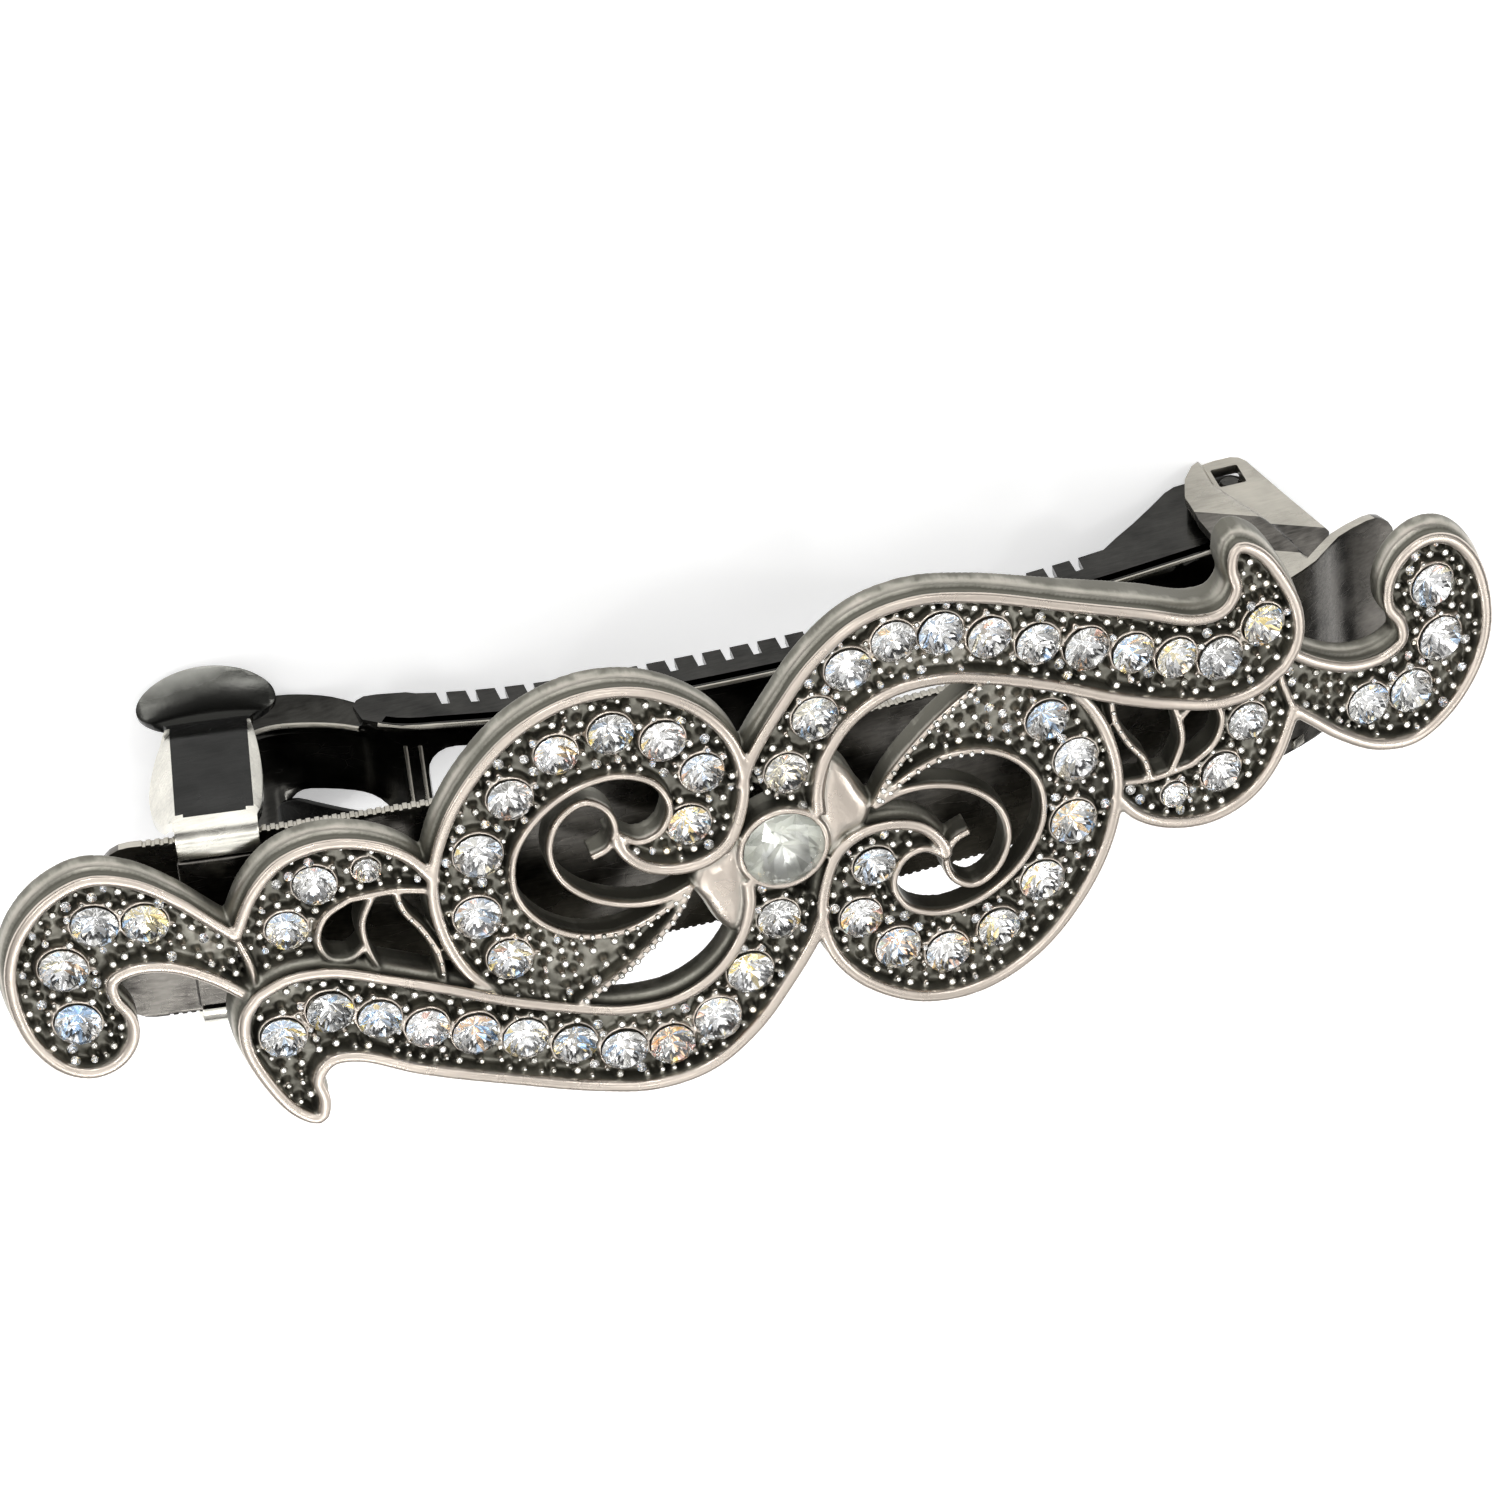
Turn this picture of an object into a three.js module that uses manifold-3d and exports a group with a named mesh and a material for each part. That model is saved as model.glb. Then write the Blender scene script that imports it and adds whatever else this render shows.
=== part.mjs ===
// A rhinestone hair clip: an arched, openwork cast ornament set with clear stones, on a spring barrette clip.
//
// Millimetres. +X runs along the clip from the catch to the hinge, +Y across it, and +Z out of the decorated
// face. The clip lies face up on its finger tabs and hinge ears, on the plane z = 0. The origin is under the
// middle stone. The ornament is the same after half a turn about Z, so only its right half is drawn.
import * as THREE from "three";
import { mergeVertices } from "three/addons/utils/BufferGeometryUtils.js";
import Module from "manifold-3d";

const wasm = await Module();
wasm.setup();

// ---- Driving dimensions ----

const FACE_HEIGHT = 21.8; // decorated face above the resting plane, at the middle
const ARCH_RADIUS = 178.5; // the ornament and the plate bend to this radius along their length

const CAST_DEPTH = 2.3; // full thickness of the casting
const FLOOR_TOP = -1.1; // floor of the stone channels, under the face
const RIM_WIDTH = 0.8;
const WIRE_WIDTH = 0.62;
const WIRE_TOP = -0.12;
const WIRE_BOTTOM = -1.9;
const ARM_LIFT = 0.8; // how far the tail of each long arm stands above the rest of the face
const ARM_LIFT_START = 11;
const ARM_LIFT_LENGTH = 13;
const COLLAR_RADIUS = 2.75; // ring round the middle stone
const COLLAR_WIDTH = 0.38;

const CLIP_Y = -1.275; // the clip sits off the ornament's middle line
const PLATE_THICKNESS = 0.8;
const PLATE_DROP = 5.05; // middle of the plate's thickness, under the face
const PLATE_HALF_WIDTH = 5.975;
const PLATE_LEFT = -38;
const PLATE_RIGHT = 40.9;
const PLATE_CORNER = 1.8;
const PLATE_BEND_START = 33;
const PLATE_TAIL = [[35, -9.7], [36.9, -11.5], [39.4, -12.6], [41.4, -13.2]]; // the plate's end, bent down past the hinge

const EAR_THICKNESS = 0.7;
const EAR_OUTER_Y = 6.175;
const EAR_HOLE = { left: 32.45, right: 33.95, low: -20.7, high: -18.9 };
const PIN_X = 33.2;
const PIN_Z = -19.8;
const PIN_RADIUS = 0.65;
const PIN_COLLAR_RADIUS = 1.1;
const RUNNING_GAP = 0.09;

const BAR_THICKNESS = 0.7;
const BAR_HALF_WIDTH = 5.175;
const BAR_LINE = [[-31.6, -17.9], [-29.8, -18.0], [-27.8, -18.8], [-25.4, -19.3], [-21.8, -18.0], [-18.6, -15.6],
  [-15.8, -14.7], [-12.5, -13.8], [-8, -13.05], [-1, -12.5], [5, -12.3], [12, -12.4], [18, -12.8], [24, -13.4],
  [30.6, -14.3]];
const BAR_TIP_HALF_WIDTH = 4.375;
const BAR_NECK_X = -20.3; // the bar narrows here
const BAR_FLANGE_DEPTH = 3.2;
const TIP_FLANGE_DEPTH = 1.6;
const BAR_FLANGE_THICKNESS = 0.6;
const TOOTH_PITCH = 1.65;
const TOOTH_GAP = 0.55;
const TOOTH_DEPTH = 1.3;
const FIRST_TOOTH_X = 22.75;
const LAST_TOOTH_X = -16;
const SLOTS = [[-17.2, -3.5], [4.5, 20]];
const SLOT_HALF_WIDTH = 3.6;
const SLOT_CORNER = 1.7;
const TIP_SLOT = { left: -25, right: -19.3, middle: -1.4, halfWidth: 1.5, corner: 1.4 }; // off the bar's middle

const CATCH_X = -30.9;
const CATCH_HALF_WIDTH = 2.5;
const CATCH_THICKNESS = 0.6;
const TAB_HALF_WIDTH = 4.0;
const ARM_Y = 6.625; // middle of a prong's thickness
const PRONG_FOOT = 1.4; // how far a prong's foot turns in over the plate
const PRONG_BULGE = 4.3; // a prong's sides bow out towards this half width
const RIVET_RADIUS = 1.0;
const RIVET_HEAD_RADIUS = 1.7;
const RIVET_HEAD_HEIGHT = 0.6;

const SPRING_THICKNESS = 0.35;
const SPRING_HALF_WIDTH = 2.6;
const SPRING_CENTRE_Z = -6.05;
const SPRING_LINE = [[-26.4, -15.6], [-24.4, -13.4], [-21, -10.6], [-17, -8.5], [-13, -7.2], [-8, -6.4],
  [0, SPRING_CENTRE_Z], [8, -6.25], [14, -6.75], [19, -7.75], [23, -9.7], [26.4, -12.3]];

const POST_RADIUS = 1.3;
const POST_X = 17.7;
const POST_Y = -1.2;
const CONTACT_GAP = 0.15; // left between pieces that touch on the real clip

const CURVE_STEP = 1.5; // spacing of points along the drawn curves
const SMALL_CURVE_STEP = 1.1;
const PROFILE_STEP = 3;

// ---- Finishes ----

const antiqueSilver = { color: 0xa39a92, roughness: 0.38, metalness: 1 };
const crystal = { color: 0xe9edf0, roughness: 0.05, metalness: 0.1 };
const nickel = { color: 0x6f6c68, roughness: 0.25, metalness: 1 };
const springSteel = { color: 0x8a8782, roughness: 0.3, metalness: 1 };

// ---- The ornament's right half, as curves seen from the face ----

// Long arm: its upper edge from the middle, round the curled tail, and its lower edge back to the middle.
const ARM_UPPER = [[-2.0, 4.7], [-1.2, 6.6], [0.6, 9.2], [2.9, 11.9], [5.7, 13.8], [9.0, 14.3], [12.6, 13.5],
  [17.5, 11.6], [22.4, 9.6], [25.6, 8.1], [27.3, 8.1], [28.2, 9.3], [28.0, 10.8], [28.4, 12.0]];
const ARM_TAIL = [[28.4, 12.0], [29.6, 11.3], [31.0, 8.9], [31.8, 6.3], [31.6, 4.3], [30.7, 3.0]];
const ARM_LOWER = [[30.7, 3.0], [28.9, 2.15], [26.5, 2.1], [23.6, 3.1], [20.4, 4.5], [17.0, 6.25],
  [13.6, 7.7], [10.2, 8.75], [7.2, 8.75], [4.8, 7.6], [3.1, 5.6], [2.3, 3.4], [2.2, 1.7]];

// Round scroll: its outer edge down, round and into the small hook, and its inner edge from the leaf's root.
const ROUND_OUTER = [[17.3, 6.1], [18.9, 3.9], [19.9, 1.0], [20.1, -2.0], [19.2, -5.4], [17.3, -8.6],
  [14.3, -11.5], [10.8, -12.9], [7.3, -12.6], [4.2, -10.7], [2.4, -8.2], [1.85, -5.7], [2.2, -3.3], [3.2, -1.2],
  [4.7, -0.3], [6.6, -0.3], [8.2, -1.0], [9.2, -2.3], [9.45, -3.4]];
const LEAF_ROOT = [5.5, 1.2];
const ROUND_INNER = [LEAF_ROOT, [7.3, 2.5], [9.7, 3.35], [12.2, 3.1], [14.3, 1.7], [15.5, -0.5], [15.3, -3.2],
  [13.6, -5.6], [11.2, -7.0], [8.8, -7.2], [6.9, -6.2], [6.2, -4.4], [6.9, -2.9], [8.2, -2.5], [9.45, -3.4]];
const LEAF_EDGE = [LEAF_ROOT, [6.7, 3.1], [8.6, 5.0], [10.6, 6.5], [12.9, 7.8]];
const SPIRAL = [LEAF_ROOT, [7.2, 1.75], [9.2, 1.6], [11.4, 0.6], [12.9, -1.1], [13.3, -3.2], [12.5, -5.1],
  [11.0, -5.9], [9.8, -5.1], [9.45, -3.6], [10.0, -2.5], [11.0, -2.1]];

// Plain lobe between the middle stone and the leaf's root.
const LOBE = [[2.3, 3.3], [3.2, 5.3], [4.2, 4.3], [4.9, 2.7], LEAF_ROOT, [4.9, -0.1], [3.6, -0.5], [2.7, -1.6],
  [2.2, 0.8]];

// Second scroll, under the arm.
const SCROLL_OUTER = [[19.9, -2.4], [21.2, -4.3], [23.2, -5.6], [25.8, -6.1], [28.2, -5.4], [30.0, -3.6],
  [31.4, -0.7]];
const SCROLL_FLOOR = [[19.9, -2.4], [21.2, -4.3], [23.2, -5.6], [25.8, -6.1], [28.2, -5.4], [30.0, -3.6],
  [31.4, -0.7], [30.8, 3.1], [28.9, 2.15], [26.6, 1.8], [26.9, 0.4], [26.3, -1.2], [24.8, -2.15], [22.2, -2.25],
  [20.2, -1.8]];
const SCROLL_WIRES = [
  [[20.0, -1.8], [22.2, -2.25], [24.8, -2.15]],
  [[20.2, 4.6], [20.3, 2.6], [21.0, 0.7], [21.9, -0.8], [22.2, -2.25]],
  [[23.7, 3.1], [24.2, 1.4], [24.3, -0.4], [23.5, -2.2]],
  [[24.2, 1.1], [25.2, 1.9], [26.4, 1.7], [26.9, 0.4], [26.3, -1.2], [24.8, -2.15]],
  [[30.7, 3.0], [30.8, 1.5], [31.4, -0.7]],
];

// Comma-shaped leaf at the end.
const LEAF_OUTLINE = [[31.2, 3.4], [33.0, 1.9], [35.2, 0.75], [37.3, 0.6], [38.6, 1.3], [38.6, 2.5], [37.9, 3.9],
  [38.0, 5.5], [39.0, 6.9], [40.5, 7.45], [42.0, 6.9], [43.4, 5.0], [44.05, 2.4], [44.0, -0.1], [43.1, -2.5],
  [41.3, -4.6], [39.0, -5.7], [36.6, -5.2], [34.2, -3.5], [32.6, -1.9], [31.4, -0.7]];

// Stones, as [x, y, diameter] on the face.
const MIDDLE_STONE = [0, 0, 4.6];
const ARM_STONES = [[0.7, 4.9, 2.4], [2.7, 8.1, 2.6], [4.9, 10.8, 2.6], [7.7, 11.9, 2.5], [10.5, 11.6, 2.6],
  [13.3, 10.5, 2.5], [16.1, 9.3, 2.5], [18.9, 8.2, 2.6], [21.6, 7.1, 2.4], [24.2, 5.9, 2.4], [26.9, 4.9, 2.6],
  [29.7, 6.2, 2.5]];
const ROUND_STONES = [[16.3, 3.8, 2.5], [17.8, 0.6, 2.6], [17.3, -3.6, 2.7], [15.1, -7.0, 2.5],
  [12.2, -9.4, 2.4], [9.0, -10.1, 2.5], [6.1, -8.9, 2.5], [4.1, -6.2, 2.4], [5.2, -2.9, 2.4]];
const SCROLL_STONES = [[28.5, -0.6, 2.3], [26.6, -3.4, 2.4], [23.6, -3.9, 1.5]];
const LEAF_STONES = [[36.2, -2.3, 2.5], [39.0, -2.5, 2.6], [41.1, 0.3, 2.7], [40.8, 4.1, 2.6]];

// ---- Solids ----

function solid(geometry) {
  const bare = geometry.clone();
  bare.deleteAttribute("normal");
  bare.deleteAttribute("uv");
  const merged = mergeVertices(bare, 1e-4);
  const mesh = new wasm.Mesh({
    numProp: 3,
    vertProperties: new Float32Array(merged.attributes.position.array),
    triVerts: new Uint32Array(merged.index.array),
  });
  return new wasm.Manifold(mesh);
}

function surfaceOf(body) {
  const mesh = body.getMesh();
  const geometry = new THREE.BufferGeometry();
  geometry.setAttribute("position", new THREE.BufferAttribute(mesh.vertProperties, 3));
  geometry.setIndex(new THREE.BufferAttribute(mesh.triVerts, 1));
  geometry.computeVertexNormals();
  return geometry;
}

function union(geometries) {
  return geometries.map(solid).reduce((whole, piece) => whole.add(piece));
}

// ---- Curves and outlines ----

// Points along a smooth curve through the given ones, about step apart.
function smooth(points, step = CURVE_STEP) {
  const curve = new THREE.CatmullRomCurve3(points.map(([x, y]) => new THREE.Vector3(x, y, 0)));
  const count = Math.max(2, Math.round(curve.getLength() / step));
  return curve.getSpacedPoints(count).map((p) => new THREE.Vector2(p.x, p.y));
}

function across(path, i) {
  const before = path[Math.max(0, i - 1)];
  const after = path[Math.min(path.length - 1, i + 1)];
  return new THREE.Vector2(before.y - after.y, after.x - before.x).normalize();
}

// A ribbon of constant width along a path.
function ribbon(path, width) {
  const sides = [1, -1].map((side) =>
    path.map((p, i) => p.clone().addScaledVector(across(path, i), (side * width) / 2)));
  return new THREE.Shape([...sides[0], ...sides[1].reverse()]);
}

// A flat shape made solid between two heights.
function slab(shape, low, high) {
  const geometry = new THREE.ExtrudeGeometry(shape, { depth: high - low, bevelEnabled: false, curveSegments: 6 });
  return geometry.translate(0, 0, low);
}

// A shape drawn in X and Z, made solid between two values of Y.
function sideSlab(shape, low, high) {
  return slab(shape, -high, -low).rotateX(Math.PI / 2);
}

function roundedRectangle(left, right, halfWidth, radius) {
  const shape = new THREE.Shape();
  shape.absarc(right - radius, halfWidth - radius, radius, Math.PI / 2, 0, true);
  shape.absarc(right - radius, radius - halfWidth, radius, 0, -Math.PI / 2, true);
  shape.absarc(left + radius, radius - halfWidth, radius, -Math.PI / 2, -Math.PI, true);
  shape.absarc(left + radius, halfWidth - radius, radius, Math.PI, Math.PI / 2, true);
  return shape;
}

function circle(x, y, radius) {
  const path = new THREE.Path();
  path.absarc(x, y, radius, 0, 2 * Math.PI, false);
  return path;
}

// A pin along Z: a stack of [radius, z] steps.
function turned(steps, segments = 20) {
  const first = steps[0][1];
  const last = steps[steps.length - 1][1];
  const profile = [[0, first], ...steps, [0, last]].map(([r, z]) => new THREE.Vector2(r, z));
  return new THREE.LatheGeometry(profile, segments).rotateX(Math.PI / 2);
}

// ---- The arch ----

function archDrop(x) {
  return (x * x) / (2 * ARCH_RADIUS);
}

function archTilt(x) {
  return Math.atan(x / ARCH_RADIUS);
}

function armLift(x) {
  const t = THREE.MathUtils.clamp((Math.abs(x) - ARM_LIFT_START) / ARM_LIFT_LENGTH, 0, 1);
  return ARM_LIFT * THREE.MathUtils.smoothstep(t, 0, 1);
}

function moveHeights(geometry, height) {
  const position = geometry.attributes.position;
  for (let i = 0; i < position.count; i++) {
    position.setZ(i, height(position.getX(i), position.getZ(i)));
  }
  return geometry;
}

// ---- The casting ----

function rim(points, step) {
  return slab(ribbon(smooth(points, step), RIM_WIDTH), -CAST_DEPTH, 0);
}

function wire(points) {
  return slab(ribbon(smooth(points, SMALL_CURVE_STEP), WIRE_WIDTH), WIRE_BOTTOM, WIRE_TOP);
}

function channelFloor(outline) {
  return slab(new THREE.Shape(outline), -CAST_DEPTH, FLOOR_TOP);
}

function longArm() {
  const upper = smooth(ARM_UPPER);
  const tail = smooth(ARM_TAIL);
  const lower = smooth(ARM_LOWER);
  const pieces = [
    channelFloor([...upper, ...tail.slice(1), ...lower.slice(1)]),
    rim([...ARM_UPPER.slice(0, -1), ...ARM_TAIL]),
    rim(ARM_LOWER),
  ];
  // The underside stays flat, and everything above it rises towards the tail.
  return pieces.map((piece) =>
    moveHeights(piece, (x, z) => (z > -CAST_DEPTH + 0.01 ? z + armLift(x) : z)));
}

function roundScroll() {
  const inner = smooth(ROUND_INNER);
  const outer = smooth(ROUND_OUTER);
  const leaf = smooth(LEAF_EDGE);
  return [
    channelFloor([...leaf, ...outer, ...inner.slice(1, -1).reverse()]),
    rim(ROUND_OUTER, SMALL_CURVE_STEP),
    wire(ROUND_INNER),
    wire(LEAF_EDGE),
    wire(SPIRAL),
    channelFloor(smooth([...LOBE, LOBE[0]], SMALL_CURVE_STEP).slice(1)),
  ];
}

function secondScroll() {
  return [channelFloor(SCROLL_FLOOR.map(([x, y]) => new THREE.Vector2(x, y))),
    rim(SCROLL_OUTER), ...SCROLL_WIRES.map(wire)];
}

function endLeaf() {
  const outline = smooth(LEAF_OUTLINE);
  return [channelFloor(outline), rim(LEAF_OUTLINE, SMALL_CURVE_STEP)];
}

function middleSeat() {
  const seat = new THREE.Shape();
  seat.absarc(0, 0, COLLAR_RADIUS, 0, 2 * Math.PI, false);
  const collar = seat.clone();
  collar.holes.push(circle(0, 0, COLLAR_RADIUS - COLLAR_WIDTH));
  return [slab(seat, -CAST_DEPTH, FLOOR_TOP), slab(collar, -CAST_DEPTH, 0)];
}

function castingGeometry() {
  const half = union([...longArm(), ...roundScroll(), ...secondScroll(), ...endLeaf()]);
  const otherHalf = solid(surfaceOf(half).rotateZ(Math.PI));
  const whole = surfaceOf(half.add(otherHalf).add(union(middleSeat())));
  return moveHeights(whole, (x, z) => z - archDrop(x));
}

// ---- Stones ----

// A round cut stone: a point below the girdle, sloping crown facets and a flat table.
function stoneGeometry(diameter) {
  const r = diameter / 2;
  const profile = [[0, -0.72], [0.97 * r, -0.28], [r, -0.12], [0.56 * r, 0.2 * diameter], [0, 0.2 * diameter]]
    .map(([radius, z]) => new THREE.Vector2(radius, z));
  return new THREE.LatheGeometry(profile, 8).rotateX(Math.PI / 2);
}

function placeStone([x, y, diameter], geometry, side, lift = 0) {
  const drop = archDrop(x);
  geometry.rotateY(archTilt(side * x));
  return geometry.translate(side * x, side * y, lift - drop);
}

// Small stones that share one bed of adhesive along their channel.
function stoneRow(stones, side) {
  const bedWidth = 0.8;
  const bedTop = -0.5;
  const bedBottom = -0.85;
  const path = smooth(stones, CURVE_STEP).map((p) => p.multiplyScalar(side));
  const bed = moveHeights(slab(ribbon(path, bedWidth), bedBottom, bedTop), (x, z) => z - archDrop(x));
  return surfaceOf(union([bed, ...stones.map((s) => placeStone(s, stoneGeometry(s[2]), side))]));
}

// ---- The clip ----

function plateZ(x) {
  return -PLATE_DROP - archDrop(x);
}

// A bent strip: its side profile given by middle-line points, its plan by a shape seen from above.
function bentStrip(line, thickness, plan) {
  const reach = 30;
  const side = sideSlab(ribbon(smooth(line, PROFILE_STEP), thickness), -reach, reach);
  return solid(side).intersect(solid(slab(plan, -reach, reach)));
}

function hingeEar() {
  const ear = new THREE.Shape();
  ear.moveTo(32.6, plateZ(32.6));
  ear.lineTo(30.6, -13.2);
  ear.lineTo(30.0, -15.6);
  ear.lineTo(29.95, -18.1);
  ear.lineTo(30.5, -19.8);
  ear.quadraticCurveTo(31.2, -FACE_HEIGHT, 32.8, -FACE_HEIGHT);
  ear.lineTo(33.9, -FACE_HEIGHT);
  ear.quadraticCurveTo(34.6, -FACE_HEIGHT, 34.8, -20.3);
  ear.lineTo(35.7, -16.4);
  ear.lineTo(36.8, -11.9);
  ear.lineTo(34.8, -9.5);
  ear.closePath();
  const { left, right, low, high } = EAR_HOLE;
  const corners = [[left, low], [right, low], [right, high], [left, high]].map(([x, z]) => new THREE.Vector2(x, z));
  ear.holes.push(new THREE.Path(corners));
  return ear;
}

function basePlate() {
  const line = [];
  for (let x = PLATE_LEFT; x <= PLATE_BEND_START; x += 4) line.push([x, plateZ(x)]);
  line.push(...PLATE_TAIL);
  const plan = roundedRectangle(PLATE_LEFT + 0.3, PLATE_RIGHT, PLATE_HALF_WIDTH, PLATE_CORNER);
  plan.holes.push(circle(CATCH_X, 0, RIVET_RADIUS + CONTACT_GAP));
  plan.holes.push(circle(0, 0, RIVET_RADIUS + CONTACT_GAP));
  let plate = bentStrip(line, PLATE_THICKNESS, plan);
  for (const side of [-1, 1]) {
    const inner = side * (EAR_OUTER_Y - EAR_THICKNESS);
    const outer = side * EAR_OUTER_Y;
    plate = plate.add(solid(sideSlab(hingeEar(), Math.min(inner, outer), Math.max(inner, outer))));
  }
  return surfaceOf(plate);
}

// Its ends stand in the ears' holes, and a collar between the bar's flanges keeps it there.
function hingePin() {
  const end = EAR_OUTER_Y - CONTACT_GAP;
  const collar = BAR_HALF_WIDTH - BAR_FLANGE_THICKNESS - CONTACT_GAP;
  return turned([[PIN_RADIUS, -end], [PIN_RADIUS, -collar], [PIN_COLLAR_RADIUS, -collar],
    [PIN_COLLAR_RADIUS, collar], [PIN_RADIUS, collar], [PIN_RADIUS, end]], 24).rotateX(Math.PI / 2);
}

// Height of the bar's middle line anywhere along it.
function barHeight(x, points) {
  const next = Math.max(1, points.findIndex((p) => p.x >= x));
  const a = points[next - 1];
  const b = points[next];
  return a.y + ((b.y - a.y) * (x - a.x)) / (b.x - a.x);
}

// Side view of a toothed flange, with a lobe round the hinge pin.
function toothedFlange() {
  const points = smooth(BAR_LINE, PROFILE_STEP);
  const below = (x, depth) => [x, barHeight(x, points) - depth];
  const outline = points.filter((p) => p.x >= BAR_NECK_X).map((p) => [p.x, p.y]);
  const first = outline[0][0];
  const lobe = [[33.0, -15.5], [34.3, -17.1], [34.8, -19.2], [34.4, -20.8], [33.1, -21.5], [31.6, -21.55],
    [30.2, -21.4], [28.6, -20.2], [26.6, -18.6], below(24.4, BAR_FLANGE_DEPTH)];
  const teeth = [];
  for (let x = FIRST_TOOTH_X; x - TOOTH_GAP > LAST_TOOTH_X; x -= TOOTH_PITCH) {
    teeth.push(below(x, BAR_FLANGE_DEPTH), below(x, BAR_FLANGE_DEPTH - TOOTH_DEPTH));
    teeth.push(below(x - TOOTH_GAP, BAR_FLANGE_DEPTH - TOOTH_DEPTH), below(x - TOOTH_GAP, BAR_FLANGE_DEPTH));
  }
  const shape = new THREE.Shape([...outline, ...lobe, ...teeth, below(first, BAR_FLANGE_DEPTH)]
    .map(([x, z]) => new THREE.Vector2(x, z)));
  shape.holes.push(circle(PIN_X, PIN_Z, PIN_RADIUS + RUNNING_GAP));
  return shape;
}

// Side view of the low flange on the narrow tip.
function tipFlange() {
  const points = smooth(BAR_LINE, PROFILE_STEP).filter((p) => p.x > -27 && p.x < BAR_NECK_X + 2);
  const low = [...points].reverse().map((p) => new THREE.Vector2(p.x, p.y - TIP_FLANGE_DEPTH));
  return new THREE.Shape([...points, ...low]);
}

function lockingBar() {
  const plan = new THREE.Shape();
  plan.moveTo(-31.4, 2.8);
  plan.quadraticCurveTo(-31.2, BAR_TIP_HALF_WIDTH, -29.4, BAR_TIP_HALF_WIDTH);
  plan.lineTo(BAR_NECK_X - 1, BAR_TIP_HALF_WIDTH);
  plan.lineTo(BAR_NECK_X, BAR_HALF_WIDTH);
  plan.lineTo(30.4, BAR_HALF_WIDTH);
  plan.lineTo(30.4, -BAR_HALF_WIDTH);
  plan.lineTo(BAR_NECK_X, -BAR_HALF_WIDTH);
  plan.lineTo(BAR_NECK_X - 1, -BAR_TIP_HALF_WIDTH);
  plan.lineTo(-29.4, -BAR_TIP_HALF_WIDTH);
  plan.quadraticCurveTo(-31.2, -BAR_TIP_HALF_WIDTH, -31.4, -2.8);
  for (const [left, right] of SLOTS) {
    const slot = roundedRectangle(left, right, SLOT_HALF_WIDTH, SLOT_CORNER);
    plan.holes.push(new THREE.Path(slot.getPoints(8).reverse()));
  }
  const tipSlot = roundedRectangle(TIP_SLOT.left, TIP_SLOT.right, TIP_SLOT.halfWidth, TIP_SLOT.corner).getPoints(8);
  for (const point of tipSlot) point.y += TIP_SLOT.middle;
  plan.holes.push(new THREE.Path(tipSlot.reverse()));
  let bar = bentStrip(BAR_LINE, BAR_THICKNESS, plan);
  for (const side of [-1, 1]) {
    const wide = [side * (BAR_HALF_WIDTH - BAR_FLANGE_THICKNESS), side * BAR_HALF_WIDTH];
    const narrow = [side * (BAR_TIP_HALF_WIDTH - BAR_FLANGE_THICKNESS), side * BAR_TIP_HALF_WIDTH];
    bar = bar.add(solid(sideSlab(toothedFlange(), Math.min(...wide), Math.max(...wide))));
    bar = bar.add(solid(sideSlab(tipFlange(), Math.min(...narrow), Math.max(...narrow))));
  }
  return surfaceOf(bar);
}

function tensionSpring() {
  const plan = roundedRectangle(-26.2, 26.2, SPRING_HALF_WIDTH, 1.2);
  plan.holes.push(circle(0, 0, RIVET_RADIUS + CONTACT_GAP));
  return surfaceOf(bentStrip(SPRING_LINE, SPRING_THICKNESS, plan));
}

// The rest of the catch is drawn in its own frame: z = 0 is the middle of the plate's thickness.

function catchBridge() {
  const shape = new THREE.Shape();
  const end = ARM_Y - PRONG_FOOT - CONTACT_GAP;
  shape.moveTo(-CATCH_HALF_WIDTH, -end);
  shape.lineTo(CATCH_HALF_WIDTH, -end);
  shape.lineTo(CATCH_HALF_WIDTH, end);
  shape.lineTo(-CATCH_HALF_WIDTH, end);
  shape.closePath();
  shape.holes.push(circle(0, 0, RIVET_RADIUS + CONTACT_GAP));
  const low = PLATE_THICKNESS / 2 + CONTACT_GAP;
  return slab(shape, low, low + CATCH_THICKNESS);
}

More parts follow.
